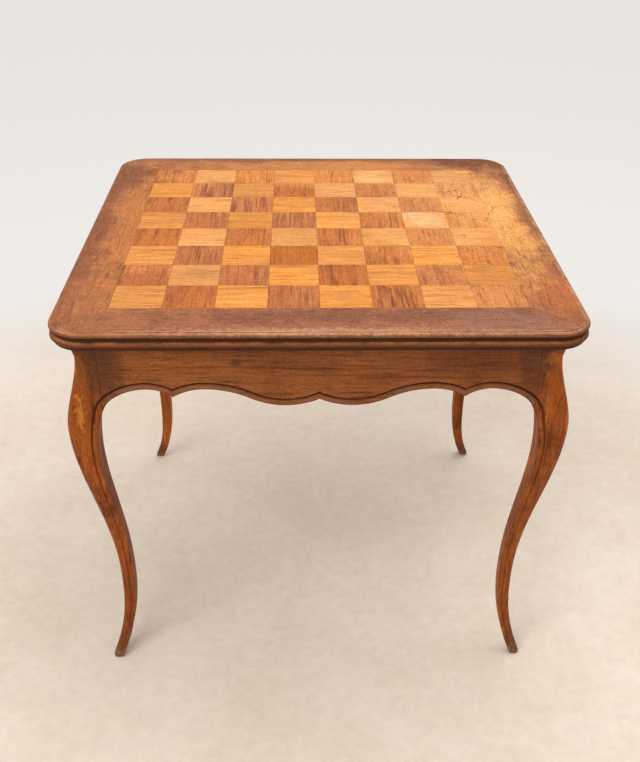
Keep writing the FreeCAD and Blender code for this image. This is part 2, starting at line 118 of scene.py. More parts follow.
class Nodes:
    """Builder for the nodes of one tree."""

    def __init__(self, tree: bpy.types.NodeTree) -> None:
        """Take the tree to build in."""
        self.tree = tree

    def feed(self, socket: Socket, value: object) -> None:
        """Link a socket to another, or set its own value.

        Args:
            socket: the input to fill.
            value: an output socket, a number, a vector or a colour.
        """
        if isinstance(value, Socket):
            self.tree.links.new(value, socket)
        elif socket.type == "RGBA":
            socket.default_value = (*value, 1.0)
        else:
            socket.default_value = value

    def add(self, kind: str, inputs: dict, **settings: object) -> bpy.types.Node:
        """Add a node.

        Args:
            kind: the node's type.
            inputs: socket name or index to value or output socket.
            settings: properties of the node.

        Returns:
            The new node.
        """
        node = self.tree.nodes.new(kind)
        for key, value in settings.items():
            setattr(node, key, value)
        for key, value in inputs.items():
            self.feed(node.inputs[key], value)
        return node

    def calc(self, operation: str, a: object, b: object = 0.0) -> Socket:
        """Work out one sum of two values."""
        return self.add("ShaderNodeMath", {0: a, 1: b}, operation=operation).outputs[0]

    def times(self, a: object, b: object) -> Socket:
        """Multiply two values."""
        return self.calc("MULTIPLY", a, b)

    def plus(self, a: object, b: object) -> Socket:
        """Add two values."""
        return self.calc("ADD", a, b)

    def less(self, a: object, b: object) -> Socket:
        """Take the second value from the first."""
        return self.calc("SUBTRACT", a, b)

    def ease(self, value: object, low: float, high: float) -> Socket:
        """Rise smoothly from 0 at low to 1 at high."""
        inputs = {"Value": value, "From Min": low, "From Max": high}
        return self.add("ShaderNodeMapRange", inputs, interpolation_type="SMOOTHSTEP").outputs["Result"]

    def mix(self, share: object, a: object, b: object) -> Socket:
        """Mix two colours by the share of the second."""
        return self.add("ShaderNodeMix", {0: share, 6: a, 7: b}, data_type="RGBA").outputs[2]

    def level(self, value: object, colour: object) -> Socket:
        """Make a colour lighter or darker."""
        return self.add("ShaderNodeHueSaturation", {"Value": value, "Color": colour}).outputs[0]

    def vector(self, x: object, y: object, z: object) -> Socket:
        """Join three values to a vector."""
        return self.add("ShaderNodeCombineXYZ", {0: x, 1: y, 2: z}).outputs[0]

    def place(self) -> Socket:
        """Coordinates on the piece, in metres."""
        return self.add("ShaderNodeTexCoord", {}).outputs["Object"]

    def distance(self, place: Socket, centre: Point, reach: Point = (1.0, 1.0, 1.0)) -> Socket:
        """Distance of a place from a centre.

        Args:
            place: the coordinates.
            centre: the centre.
            reach: the length that counts as 1 on each axis.

        Returns:
            The distance.
        """
        off = self.add("ShaderNodeVectorMath", {0: place, 1: centre}, operation="SUBTRACT").outputs[0]
        off = self.add("ShaderNodeVectorMath", {0: off, 1: reach}, operation="DIVIDE").outputs[0]
        return self.add("ShaderNodeVectorMath", {0: off}, operation="LENGTH").outputs["Value"]

    def noise(self, vector: Socket, scale: float, detail: float, rough: float = 0.5) -> Socket:
        """Cloudy noise about one half.

        Args:
            vector: where to read it.
            scale: how fine it is.
            detail: octaves.
            rough: weight of the finer octaves.

        Returns:
            The noise value.
        """
        inputs = {"Vector": vector, "Scale": scale, "Detail": detail, "Roughness": rough}
        return self.add("ShaderNodeTexNoise", inputs).outputs[0]

    def cloud(self, place: Socket, kind: Cloud) -> Socket:
        """Mask of a cloudy pattern."""
        return self.ease(self.noise(place, kind.scale, kind.detail, kind.rough), kind.low, kind.high)

    def ramp(self, value: Socket, stops: Iterable[tuple[float, Colour]]) -> Socket:
        """Colour a value by stops.

        Args:
            value: what is coloured.
            stops: place and colour of each stop.

        Returns:
            The colour.
        """
        node = self.add("ShaderNodeValToRGB", {0: value})
        elements = node.color_ramp.elements
        for count, (place, colour) in enumerate(stops):
            element = elements[count] if count < len(elements) else elements.new(1.0)
            element.position = place
            element.color = (*colour, 1.0)
        return node.outputs[0]

    def shown(self) -> Socket:
        """Find the rays that show the background: straight on, mirrored or through glass.

        Returns:
            1 for those rays, 0 for the others.
        """
        rays = self.add("ShaderNodeLightPath", {}).outputs
        seen = self.calc("MAXIMUM", rays["Is Camera Ray"], rays["Is Glossy Ray"])
        return self.calc("MAXIMUM", seen, rays["Is Transmission Ray"])


class Shader(Nodes):
    """Builder for one material."""

    def __init__(self, name: str) -> None:
        """Start a material.

        Args:
            name: the material's name.
        """
        self.material = bpy.data.materials.new(name)
        self.material.use_nodes = True
        super().__init__(self.material.node_tree)
        self.skin = self.tree.nodes["Principled BSDF"].inputs


# Colour of the painted shade in quirks, under noses and in coves.
CREASE_SHADE_COLOUR: Colour = (0.042, 0.013, 0.005)
MOTTLE = Cloud(9.5, 9.0, 0.76, 0.46, 0.66)
DENTS = Cloud(58.0, 5.0, 0.7, 0.63, 0.76)
SCUFF_PLACES = replace(DENTS, low=0.42, high=0.56)
SCUFFS = Cloud(360.0, 3.0, 0.5, 0.58, 0.68)
# Patchiness of the rubbed edges and of their painted highlights.
RUB_AND_HIGHLIGHT_PATCHES = Cloud(24.0, 7.0, 0.68, 0.36, 0.62)
OPEN_SEAMS = Cloud(13.0, 4.0, 0.5, 0.42, 0.66)
BROKEN_CRACKS = Cloud(22.0, 3.0, 0.5, 0.44, 0.54)
RUST = Cloud(420.0, 4.0, 0.5, 0.45, 0.62)
BROAD = Strand(2.2, 9.0, 4.0, 0.6)
STREAK = Strand(4.5, 85.0, 6.0, 0.7)
FIBRE = Strand(30.0, 520.0, 3.0, 0.65)
WAVER = Strand(9.0, 26.0, 3.0, 0.5)


@dataclass(frozen=True)
class Patch:
    """A rubbed, faded or stained place on a wood, or a place of painted shade, highlight or sheen, in metres.
    """

    centre: Point
    reach: Point
    colour: Colour
    share: float
    ragged: float
    grit: float


@dataclass(frozen=True)
class Wood:
    """A waxed wood: its colours from pore to sapwood, its figure, its wear, and the light and shade painted on
    it.
    """

    name: str
    slot: str
    deep: Colour
    body: Colour
    pale: Colour
    grain: Grain
    streak: float = 0.6
    figure: float = 0.15
    rings: float = 55.0
    pores: float = 0.45
    pore_length: float = 24.0
    pore_width: float = 280.0
    mottle: Colour = (0.25, 0.10, 0.05)
    mottled: float = 0.35
    fleck: float = 0.4
    dents: float = 0.5
    scuffs: float = 0.0
    cracks: Patch | None = None
    rough: float = 0.46
    wax: float = 0.12
    cell: float = 0.0
    tint: float = 0.0
    mitred: bool = False
    # Colour of the edges: rub and painted highlight on the top and the leaves, dust on the aprons' beads.
    arris: Colour = (0.56, 0.25, 0.11)
    patches: tuple[Patch, ...] = ()

    TONES: ClassVar[tuple[float, ...]] = (0.26, 0.46, 0.56, 0.76)
    PORE_SHADE: ClassVar[float] = 0.32
    SCUFF_LIGHT: ClassVar[float] = 1.5
    FLECK_SPAN: ClassVar[float] = 3.6
    FIBRE_SHADE: ClassVar[float] = 0.26
    SQUARE_SHIFT: ClassVar[float] = 9.0
    VALUE_RATE: ClassVar[float] = 3.7
    RICHNESS_RATE: ClassVar[float] = 7.3
    RICHNESS: ClassVar[float] = 0.35
    SEAM_WIDTH: ClassVar[Plan] = (0.003, 0.012)
    SEAM_SHADE: ClassVar[float] = 0.4
    MITRE_WIDTH: ClassVar[Plan] = (0.0002, 0.0014)
    MITRE_RUN: ClassVar[Plan] = (0.05, 0.30)
    MITRE_SHADE: ClassVar[float] = 0.75
    PORES_SHOW: ClassVar[Plan] = (0.51, 0.61)
    WAVER_SHOWS: ClassVar[Plan] = (0.30, 0.62)
    FIBRES_SHOW: ClassVar[Plan] = (0.45, 0.66)
    BROAD_SHARE: ClassVar[float] = 0.7
    RING_SHARE: ClassVar[float] = 0.25
    RING_BEND: ClassVar[float] = 9.0
    RAGGED_SPAN: ClassVar[float] = 3.4
    PATCH_FADE: ClassVar[float] = 0.7
    CRACK_SCALE: ClassVar[float] = 12.0
    CRACK_WIDTH: ClassVar[Plan] = (0.004, 0.018)
    CRACK_SWAY: ClassVar[float] = 0.05
    DULL_TONE: ClassVar[float] = 0.20
    DULL_PORE: ClassVar[float] = 0.15
    DULL_PATCHED: ClassVar[float] = 0.10
    FIBRE_DEPTH: ClassVar[float] = 0.4
    PORE_DEPTH: ClassVar[float] = 0.7
    TONE_HEIGHT: ClassVar[float] = 0.6
    RELIEF: ClassVar[Plan] = (0.4, 0.0006)

    def material(self) -> bpy.types.Material:
        """Make the material, or give back the one made before.

        Returns:
            The material.
        """
        known = bpy.data.materials.get(self.name)
        if known is not None:
            return known
        s = Shader(self.name)
        place = s.place()
        xyz = list(s.add("ShaderNodeSeparateXYZ", {0: place}).outputs)
        shift, seam = self.cells(s, xyz) if self.cell else (0.0, None)
        tone, fibre, pore = self.grain_of(s, xyz, shift)
        colour = self.clean(s, place, tone, shift)
        patched = 0.0
        for patch in self.patches:
            mask = self.patch_mask(s, place, patch)
            colour = s.mix(mask, colour, patch.colour)
            patched = s.calc("MAXIMUM", patched, mask)
        colour = self.flecked(s, place, colour, fibre, pore)
        colour = self.marks_and_edge_light(s, place, colour)
        if self.mitred:
            colour = s.mix(self.mitre(s, xyz), colour, self.dark())
        if seam is not None:
            colour = s.mix(seam, colour, self.dark())
        s.feed(s.skin["Base Color"], colour)
        self.surface(s, tone, fibre, pore, patched)
        return s.material

    def dark(self) -> Colour:
        """Colour of pores, dents and open seams."""
        return tuple(self.PORE_SHADE * c for c in self.deep)

    def clean(self, s: Shader, place: Socket, tone: Socket, shift: object) -> Socket:
        """Colour of the clean wood, with its own tint for each square of a board.

        Args:
            s: the material's builder.
            place: the coordinates.
            tone: light and dark of the grain.
            shift: a chance for each square.

        Returns:
            The colour.
        """
        colour = s.ramp(tone, zip(self.TONES, (self.deep, self.body, self.body, self.pale)))
        if self.cell:
            inputs = {"Color": colour}
            chances = (
                ("Value", self.VALUE_RATE, self.tint),
                ("Saturation", self.RICHNESS_RATE, self.RICHNESS * self.tint),
            )
            for key, rate, span in chances:
                chance = s.calc("FRACT", s.times(shift, rate))
                inputs[key] = s.plus(s.times(chance, span), 1 - 0.5 * span)
            colour = s.add("ShaderNodeHueSaturation", inputs).outputs[0]
        return s.mix(s.times(s.cloud(place, MOTTLE), self.mottled), colour, self.mottle)

    def flecked(self, s: Shader, place: Socket, colour: Socket, fibre: Socket, pore: Socket) -> Socket:
        """Add flecks, fibres and pores to a colour.

        Args:
            s: the material's builder.
            place: the coordinates.
            colour: the colour so far.
            fibre: fine fibres.
            pore: open pores.

        Returns:
            The colour.
        """
        fleck = s.less(s.noise(place, scale=300.0, detail=4.0, rough=0.75), 0.5)
        level = s.plus(s.times(fleck, self.FLECK_SPAN * self.fleck), 1.0)
        level = s.less(level, s.times(fibre, self.FIBRE_SHADE))
        return s.mix(s.times(pore, self.pores), s.level(level, colour), self.dark())

    def marks_and_edge_light(self, s: Shader, place: Socket, colour: Socket) -> Socket:
        """Add dents, scuffs, cracks, rubbed edges with painted highlights, and painted shade in creases to a
        colour.

        Args:
            s: the material's builder.
            place: the coordinates.
            colour: the colour so far.

        Returns:
            The colour.
        """
        colour = s.mix(s.times(s.cloud(place, DENTS), self.dents), colour, self.dark())
        if self.scuffs:
            scuffed = s.times(s.cloud(place, SCUFFS), s.cloud(place, SCUFF_PLACES))
            light = tuple(min(self.SCUFF_LIGHT * c, 1.0) for c in self.pale)
            colour = s.mix(s.times(scuffed, self.scuffs), colour, light)
        if self.cracks is not None:
            colour = s.mix(self.crack_mask(s, place, self.cracks), colour, self.cracks.colour)
        # Rubbed edges with painted highlights on lips and noses, and dust on the aprons' beads.
        rub = s.add("ShaderNodeAttribute", {}, attribute_name="rub").outputs["Fac"]
        colour = s.mix(s.times(rub, s.cloud(place, RUB_AND_HIGHLIGHT_PATCHES)), colour, self.arris)
        # Painted shade in quirks, under noses and in coves, from a share stored on each point.
        grime = s.add("ShaderNodeAttribute", {}, attribute_name="grime").outputs["Fac"]
        return s.mix(grime, colour, CREASE_SHADE_COLOUR)

    def mitre(self, s: Shader, xyz: list[Socket]) -> Socket:
        """Mask of the open mitre at the front right corner.

        Args:
            s: the material's builder.
            xyz: the three coordinates.

        Returns:
            The mask.
        """
        off = s.calc("ABSOLUTE", s.plus(xyz[0], xyz[1]))
        line = s.less(1.0, s.ease(off, *self.MITRE_WIDTH))
        return s.times(s.times(line, s.ease(xyz[0], *self.MITRE_RUN)), self.MITRE_SHADE)

    def cells(self, s: Shader, xyz: list[Socket]) -> tuple[Socket, Socket]:
        """Give each square of the board its own chance, and find the seams between squares.

        Args:
            s: the material's builder.
            xyz: the three coordinates.

        Returns:
            A random shift for each square, and the mask of the seams.
        """
        counts, gaps = [], []
        for axis in xyz[:2]:
            count = s.calc("DIVIDE", axis, self.cell)
            counts.append(s.calc("FLOOR", count))
            off = s.calc("ABSOLUTE", s.less(s.calc("FRACT", count), 0.5))
            gaps.append(s.less(0.5, off))
        inputs = {"Vector": s.vector(*counts, 5.0)}
        chance = s.add("ShaderNodeTexWhiteNoise", inputs, noise_dimensions="3D").outputs["Value"]
        seam = s.less(1.0, s.ease(s.calc("MINIMUM", *gaps), *self.SEAM_WIDTH))
        broken = s.times(s.cloud(s.vector(*xyz), OPEN_SEAMS), self.SEAM_SHADE)
        return s.times(chance, self.SQUARE_SHIFT), s.times(seam, broken)

    def grain_of(self, s: Shader, xyz: list[Socket], shift: object) -> tuple[Socket, Socket, Socket]:
        """Lay streaks, figure, fibres and pores along the grain.

        Args:
            s: the material's builder.
            xyz: the three coordinates.
            shift: a shift for each piece of wood.

        Returns:
            Tone, fibre and pore values.
        """
        along, across, through = (s.plus(xyz[i], shift) for i in self.grain.value)

        def strands(kind: Strand) -> Socket:
            """Noise drawn out along the grain."""
            wide = (s.times(across, kind.across), s.times(through, kind.across))
            return s.noise(s.vector(s.times(along, kind.along), *wide), 1.0, kind.detail, kind.rough)

        broad = strands(BROAD)
        lines = strands(Strand(self.pore_length, self.pore_width, detail=3.0, rough=0.6))
        pore = s.times(s.ease(lines, *self.PORES_SHOW), s.ease(strands(WAVER), *self.WAVER_SHOWS))
        phase = s.plus(s.times(s.plus(across, through), self.rings), s.times(broad, self.RING_BEND))
        rings = s.calc("SINE", s.times(phase, 2 * math.pi))
        tone = s.times(s.less(strands(STREAK), 0.5), self.streak)
        tone = s.plus(tone, s.times(s.less(broad, 0.5), self.BROAD_SHARE))
        tone = s.plus(tone, s.times(rings, self.RING_SHARE * self.figure))
        return s.plus(tone, 0.5), s.ease(strands(FIBRE), *self.FIBRES_SHOW), pore

    def patch_mask(self, s: Shader, place: Socket, patch: Patch) -> Socket:
        """Ragged mask of one patch: a worn place, a stain, a painted shade or a painted highlight.

        Args:
            s: the material's builder.
            place: the coordinates.
            patch: the worn, stained or painted place.

        Returns:
            The mask, up to the patch's share.
        """
        rag = s.less(s.noise(place, patch.grit, detail=9.0, rough=0.76), 0.5)
        rag = s.times(rag, self.RAGGED_SPAN * patch.ragged)
        far = s.plus(s.distance(place, patch.centre, patch.reach), rag)
        return s.times(s.ease(s.less(1.0, far), 0.0, self.PATCH_FADE), patch.share)

    def crack_mask(self, s: Shader, place: Socket, patch: Patch) -> Socket:
        """Mask of fine cracks in a worn place.

        Args:
            s: the material's builder.
            place: the coordinates.
            patch: the worn place.

        Returns:
            The mask.
        """
        sway = s.add("ShaderNodeTexNoise", {"Vector": place, "Scale": 26.0, "Detail": 4.0}).outputs["Color"]
        sway = s.add("ShaderNodeVectorMath", {0: sway, "Scale": self.CRACK_SWAY}, operation="SCALE").outputs[0]
        bent = s.add("ShaderNodeVectorMath", {0: place, 1: sway}, operation="ADD").outputs[0]
        inputs = {"Vector": bent, "Scale": self.CRACK_SCALE}
        cells = s.add("ShaderNodeTexVoronoi", inputs, feature="DISTANCE_TO_EDGE")
        line = s.less(1.0, s.ease(cells.outputs["Distance"], *self.CRACK_WIDTH))
        return s.times(s.times(line, s.cloud(place, BROKEN_CRACKS)), self.patch_mask(s, place, patch))

    def surface(self, s: Shader, tone: Socket, fibre: Socket, pore: Socket, patched: object) -> None:
        """Set the wax's gloss and the grain's relief.

        Args:
            s: the material's builder.
            tone: light and dark of the grain.
            fibre: fine fibres.
            pore: open pores.
            patched: mask of the worn places and of the painted shade and highlights.
        """
        rough = s.plus(s.times(tone, self.DULL_TONE), self.rough - 0.5 * self.DULL_TONE)
        rough = s.plus(rough, s.times(pore, self.DULL_PORE))
        rough = s.plus(rough, s.times(patched, self.DULL_PATCHED))
        s.feed(s.skin["Roughness"], rough)
        s.skin["Specular IOR Level"].default_value = self.wax
        height = s.times(s.plus(s.times(fibre, self.FIBRE_DEPTH), pore), -self.PORE_DEPTH)
        height = s.plus(height, s.times(tone, self.TONE_HEIGHT))
        strength, distance = self.RELIEF
        bump = s.add("ShaderNodeBump", {"Strength": strength, "Distance": distance, "Height": height})
        s.feed(s.skin["Normal"], bump.outputs[0])


TOP_LEVEL = 0.755
THROUGH_TOP = 0.3
FRONT_FACE = -0.352
THROUGH_APRON = 0.05


def on_top(x: float, y: float, wide: float, deep: float, colour: Colour, *look: float) -> Patch:
    """Worn place, or painted sheen, on the top: middle, half sizes and colour, then share, raggedness and grit.
    """
    return Patch((x, y, TOP_LEVEL), (wide, deep, THROUGH_TOP), colour, *look)


def on_apron(x: float, z: float, wide: float, high: float, colour: Colour, *look: float) -> Patch:
    """Worn place, or painted shade, on the front apron: middle, half sizes and colour, then share, raggedness
    and grit.
    """
    return Patch((x, FRONT_FACE, z), (wide, THROUGH_APRON, high), colour, *look)


def at_corners(x: float, y: float, z: float, reach: Point, colour: Colour, *look: float) -> tuple[Patch, ...]:
    """The same worn place, painted shade or painted highlight at all four legs: distances, half sizes, colour,
    then share, raggedness and grit.
    """
    spots = [(sx * x, sy * y, z) for sx in (-1, 1) for sy in (-1, 1)]
    return tuple(Patch(spot, reach, colour, *look) for spot in spots)


FADED_RIGHT = on_top(0.360, 0.06, 0.085, 0.42, (0.84, 0.365, 0.098), 0.95, 0.7, 11.0)
PALE_RIGHT = on_top(0.350, 0.10, 0.045, 0.20, (0.90, 0.44, 0.135), 0.7, 1.0, 16.0)
DARK_RIGHT_RIM = on_top(0.424, 0.10, 0.040, 0.30, (0.25, 0.083, 0.034), 0.85, 0.8, 12.0)
DARK_RIGHT_BACK = on_top(0.405, 0.40, 0.10, 0.08, (0.17, 0.055, 0.022), 0.85, 0.8, 14.0)
RED_RIGHT_FRONT = on_top(0.400, -0.30, 0.075, 0.14, (0.50, 0.145, 0.036), 0.8, 1.0, 16.0)
BROWN_RIGHT_CORNER = on_top(0.415, -0.39, 0.05, 0.07, (0.27, 0.085, 0.034), 0.8, 0.7, 14.0)
ORANGE_LEFT = on_top(-0.352, 0.05, 0.055, 0.36, (0.62, 0.215, 0.05), 0.7, 0.9, 15.0)
DARK_LEFT_RIM = on_top(-0.415, 0.02, 0.035, 0.42, (0.25, 0.075, 0.034), 0.8, 0.9, 12.0)
DARK_LEFT_BACK = on_top(-0.385, 0.30, 0.06, 0.10, (0.22, 0.068, 0.030), 0.75, 0.9, 16.0)
FADED_BACK = on_top(0.02, 0.36, 0.50, 0.05, (0.66, 0.255, 0.066), 0.8, 0.8, 12.0)
DARK_BACK_EDGE = on_top(0.10, 0.42, 0.50, 0.028, (0.23, 0.075, 0.028), 0.75, 0.9, 10.0)
DARK_BACK_RIGHT = on_top(0.36, 0.405, 0.14, 0.07, (0.16, 0.05, 0.02), 0.85, 0.8, 14.0)
# Greyish front border: dust, and painted sheen.
FRONT_DUST_AND_SHEEN = on_top(-0.06, -0.385, 0.66, 0.075, (0.36, 0.132, 0.064), 0.75, 0.7, 10.0)
RUBBED_FRONT = on_top(0.02, -0.415, 0.30, 0.012, (0.66, 0.36, 0.20), 0.45, 1.5, 110.0)
SMEARS_FRONT = on_top(0.10, -0.365, 0.42, 0.04, (0.19, 0.066, 0.034), 0.65, 1.2, 17.0)
# Greyer front right of the border: dust, and painted sheen.
GREY_FRONT_RIGHT = on_top(0.30, -0.385, 0.15, 0.06, (0.30, 0.13, 0.082), 0.75, 0.8, 12.0)
RIGHT_CRACKS = on_top(0.30, 0.06, 0.15, 0.40, (0.17, 0.047, 0.014), 0.8, 0.5, 9.0)
KNEE_RUB_LEFT = Patch((-0.393, -0.375, 0.577), (0.011, 0.040, 0.044), (0.74, 0.27, 0.035), 0.9, 1.1, 75.0)
KNEE_RUB_RIGHT = Patch((0.417, -0.365, 0.565), (0.009, 0.040, 0.060), (0.60, 0.19, 0.030), 0.7, 0.6, 48.0)
# Painted shade at the tops of the posts, under the top's overhang.
POST_SHADE = at_corners(0.385, 0.34, 0.712, (0.07, 0.07, 0.060), (0.135, 0.038, 0.012), 0.75, 0.6, 24.0)
# Painted shade on the inner half of each post, beside the apron and under the top.
POST_INSIDE = at_corners(0.366, 0.345, 0.650, (0.024, 0.05, 0.090), (0.16, 0.044, 0.012), 0.8, 0.7, 24.0)
# Painted highlight on the outer side of each post.
SIDE_GLOW = at_corners(0.403, 0.345, 0.660, (0.012, 0.016, 0.050), (0.52, 0.125, 0.017), 0.8, 0.7, 30.0)
# Painted shade around the joint of leg and apron under the top, with the dark joint line itself.
JOINT_SHADE = at_corners(0.362, 0.350, 0.685, (0.034, 0.05, 0.052), (0.165, 0.056, 0.025), 0.75, 0.7, 30.0)
# Painted shade on the front left post beside the apron.
POST_DARK_LEFT = on_apron(-0.362, 0.660, 0.032, 0.090, (0.15, 0.046, 0.016), 0.85, 0.45, 28.0)
# Painted highlight on the front right post below its shaded top.
POST_GLOW = Patch((0.386, -0.352, 0.668), (0.024, 0.03, 0.018), (0.50, 0.155, 0.026), 0.75, 0.8, 45.0)
TOE_SHADE = at_corners(0.388, 0.342, 0.02, (0.06, 0.06, 0.085), (0.15, 0.046, 0.017), 0.75, 0.5, 40.0)
TOE_DUST = at_corners(0.388, 0.342, 0.0, (0.05, 0.05, 0.026), (0.20, 0.125, 0.075), 0.8, 0.5, 70.0)
# Dark ends of the centre board, to match the leaf edges: painted shade under the top, and stained end grain.
BOARD_ENDS = tuple(
    Patch((x, 0.0, 0.73), (0.014, 2.0, 2.0), (0.12, 0.038, 0.015), 1.0, 0.15, 50.0) for x in (-0.421, 0.421)
)
BEARER_ENDS = tuple(
    Patch((0.0, y, 0.7), (2.0, 0.008, 2.0), (0.15, 0.042, 0.012), 1.0, 0.1, 60.0) for y in (-0.352, 0.352)
)

BORDER_X = Wood(
    name="border_front_back",
    slot="border_wood",
    deep=(0.19, 0.055, 0.021),
    body=(0.41, 0.133, 0.044),
    pale=(0.54, 0.21, 0.075),
    grain=Grain.ALONG_X,
    streak=0.95,
    pores=0.30,
    mottle=(0.22, 0.070, 0.034),
    mottled=0.65,
    fleck=0.5,
    dents=0.65,
    scuffs=0.45,
    mitred=True,
    arris=(0.70, 0.40, 0.23),
    cracks=RIGHT_CRACKS,
    patches=(
        FADED_BACK,
        DARK_BACK_EDGE,
        DARK_BACK_RIGHT,
        FRONT_DUST_AND_SHEEN,
        SMEARS_FRONT,
        GREY_FRONT_RIGHT,
        RUBBED_FRONT,
    ),
)
BORDER_Y = replace(
    BORDER_X,
    name="border_sides",
    grain=Grain.ALONG_Y,
    patches=(
        FADED_RIGHT,
        PALE_RIGHT,
        RED_RIGHT_FRONT,
        BROWN_RIGHT_CORNER,
        DARK_RIGHT_RIM,
        DARK_RIGHT_BACK,
        ORANGE_LEFT,
        DARK_LEFT_RIM,
        DARK_LEFT_BACK,
    ),
)
# Darker than the top's border: painted shade under the top's overhang, and less faded wood.
LEAF_EDGE_X = Wood(
    name="leaf_edge_end",
    slot="border_wood",
    deep=(0.11, 0.034, 0.013),
    body=(0.24, 0.070, 0.022),
    pale=(0.36, 0.118, 0.038),
    grain=Grain.ALONG_X,
    pores=0.25,
    mottle=(0.14, 0.042, 0.014),
    arris=(0.60, 0.225, 0.080),
)
LEAF_EDGE_Y = replace(LEAF_EDGE_X, name="leaf_edge_sides", grain=Grain.ALONG_Y)
LIGHT_SQUARE = Wood(
    name="light_square",
    slot="light_square_wood",
    deep=(0.55, 0.185, 0.036),
    body=(0.82, 0.320, 0.070),
    pale=(0.95, 0.44, 0.125),
    grain=Grain.ALONG_X,
    streak=1.1,
    pores=0.34,
    pore_length=13.0,
    pore_width=300.0,
    mottle=(0.60, 0.22, 0.055),
    mottled=0.55,
    fleck=0.26,
    cell=0.084,
    tint=0.24,
    cracks=RIGHT_CRACKS,
    patches=(
        on_top(0.25, 0.16, 0.22, 0.36, (0.88, 0.42, 0.150), 0.65, 0.9, 11.0),
        on_top(0.20, 0.05, 0.055, 0.05, (0.93, 0.55, 0.27), 0.7, 0.9, 24.0),
        on_top(0.12, 0.29, 0.06, 0.06, (0.95, 0.52, 0.20), 0.6, 0.9, 24.0),
        on_top(-0.23, 0.03, 0.035, 0.022, (0.58, 0.21, 0.055), 0.6, 0.9, 30.0),
        on_top(0.29, -0.22, 0.07, 0.07, (0.66, 0.24, 0.058), 0.7, 0.8, 20.0),
    ),
)
DARK_SQUARE = Wood(
    name="dark_square",
    slot="dark_square_wood",
    deep=(0.27, 0.064, 0.014),
    body=(0.58, 0.176, 0.034),
    pale=(0.69, 0.235, 0.058),
    grain=Grain.ALONG_Y,
    streak=1.1,
    figure=0.25,
    pores=0.42,
    pore_length=9.0,
    pore_width=330.0,
    mottle=(0.36, 0.10, 0.030),
    mottled=0.4,
    fleck=0.5,
    dents=0.35,
    cell=0.084,
    tint=0.26,
    cracks=RIGHT_CRACKS,
    patches=(
        on_top(0.0, 0.30, 0.50, 0.09, (0.80, 0.30, 0.072), 0.75, 0.7, 10.0),
        on_top(0.25, 0.06, 0.22, 0.44, (0.70, 0.262, 0.072), 0.8, 0.8, 11.0),
        on_top(0.31, 0.13, 0.10, 0.21, (0.84, 0.355, 0.105), 0.9, 0.8, 11.0),
        on_top(0.28, -0.30, 0.12, 0.07, (0.74, 0.29, 0.085), 0.6, 0.7, 12.0),
        on_top(-0.22, -0.28, 0.22, 0.12, (0.40, 0.105, 0.027), 0.5, 0.7, 12.0),
    ),
)
APRON_Y = Wood(
    name="apron_sides",
    slot="apron_wood",
    deep=(0.13, 0.037, 0.010),
    body=(0.33, 0.098, 0.024),
    pale=(0.47, 0.165, 0.042),
    grain=Grain.ALONG_Y,
    streak=0.8,
    figure=0.3,
    rings=105.0,
    pores=0.30,
    pore_length=11.0,
    pore_width=260.0,
    mottle=(0.18, 0.052, 0.015),
    mottled=0.5,
    scuffs=0.12,
    rough=0.45,
    wax=0.15,
    arris=(0.27, 0.105, 0.055),
)
APRON_X = replace(
    APRON_Y,
    name="apron_front_back",
    grain=Grain.ALONG_X,
    patches=(
        on_apron(-0.22, 0.66, 0.16, 0.06, (0.46, 0.138, 0.030), 0.45, 0.6, 12.0),
        on_apron(0.27, 0.68, 0.14, 0.07, (0.17, 0.047, 0.013), 0.6, 0.6, 12.0),
        # Painted shade along the apron's top, under the top's overhang.
        on_apron(0.0, 0.715, 0.60, 0.035, (0.14, 0.038, 0.009), 0.6, 0.6, 9.0),
        on_apron(-0.136, 0.664, 0.014, 0.011, (0.13, 0.047, 0.024), 0.8, 0.5, 40.0),
        # Painted shade at the apron's ends beside the legs, under the top.
        on_apron(0.352, 0.66, 0.05, 0.11, (0.15, 0.042, 0.012), 0.8, 0.6, 18.0),
        on_apron(-0.352, 0.66, 0.05, 0.11, (0.15, 0.042, 0.012), 0.8, 0.6, 18.0),
        *JOINT_SHADE,
        POST_DARK_LEFT,
    ),
)
LEG = Wood(
    name="leg",
    slot="leg_wood",
    deep=(0.115, 0.025, 0.005),
    body=(0.34, 0.080, 0.011),
    pale=(0.54, 0.155, 0.022),
    grain=Grain.ALONG_Z,
    streak=1.2,
    pores=0.35,
    pore_length=12.0,
    pore_width=260.0,
    mottle=(0.14, 0.034, 0.009),
    mottled=0.65,
    wax=0.14,
    dents=0.6,
    scuffs=0.10,
    arris=(0.52, 0.17, 0.035),
    patches=(
        *POST_INSIDE,
        *JOINT_SHADE,
        POST_DARK_LEFT,
        *SIDE_GLOW,
        KNEE_RUB_LEFT,
        KNEE_RUB_RIGHT,
        *POST_SHADE,
        POST_GLOW,
        *TOE_SHADE,
        *TOE_DUST,
    ),
)
LEAF_FIELD = Wood(
    name="leaf_field",
    slot="leaf_wood",
    deep=(0.16, 0.05, 0.018),
    body=(0.34, 0.115, 0.040),
    pale=(0.46, 0.18, 0.068),
    grain=Grain.ALONG_X,
    figure=0.25,
)
CENTRE_BOARD = replace(LEAF_FIELD, name="centre_board_field", patches=BOARD_ENDS)
INNER_X = Wood(
    name="bare_inside_across",
    slot="inner_wood",
    deep=(0.20, 0.11, 0.055),
    body=(0.36, 0.22, 0.12),
    pale=(0.48, 0.32, 0.19),
    grain=Grain.ALONG_X,
    streak=0.8,
    rough=0.72,
)
INNER_Y = replace(INNER_X, name="bare_inside_along", grain=Grain.ALONG_Y, patches=BEARER_ENDS)
PEG = Wood(
    name="peg",
    slot="peg_wood",
    deep=(0.06, 0.02, 0.008),
    body=(0.14, 0.042, 0.013),
    pale=(0.22, 0.08, 0.026),
    grain=Grain.ALONG_Z,
    rough=0.55,
)


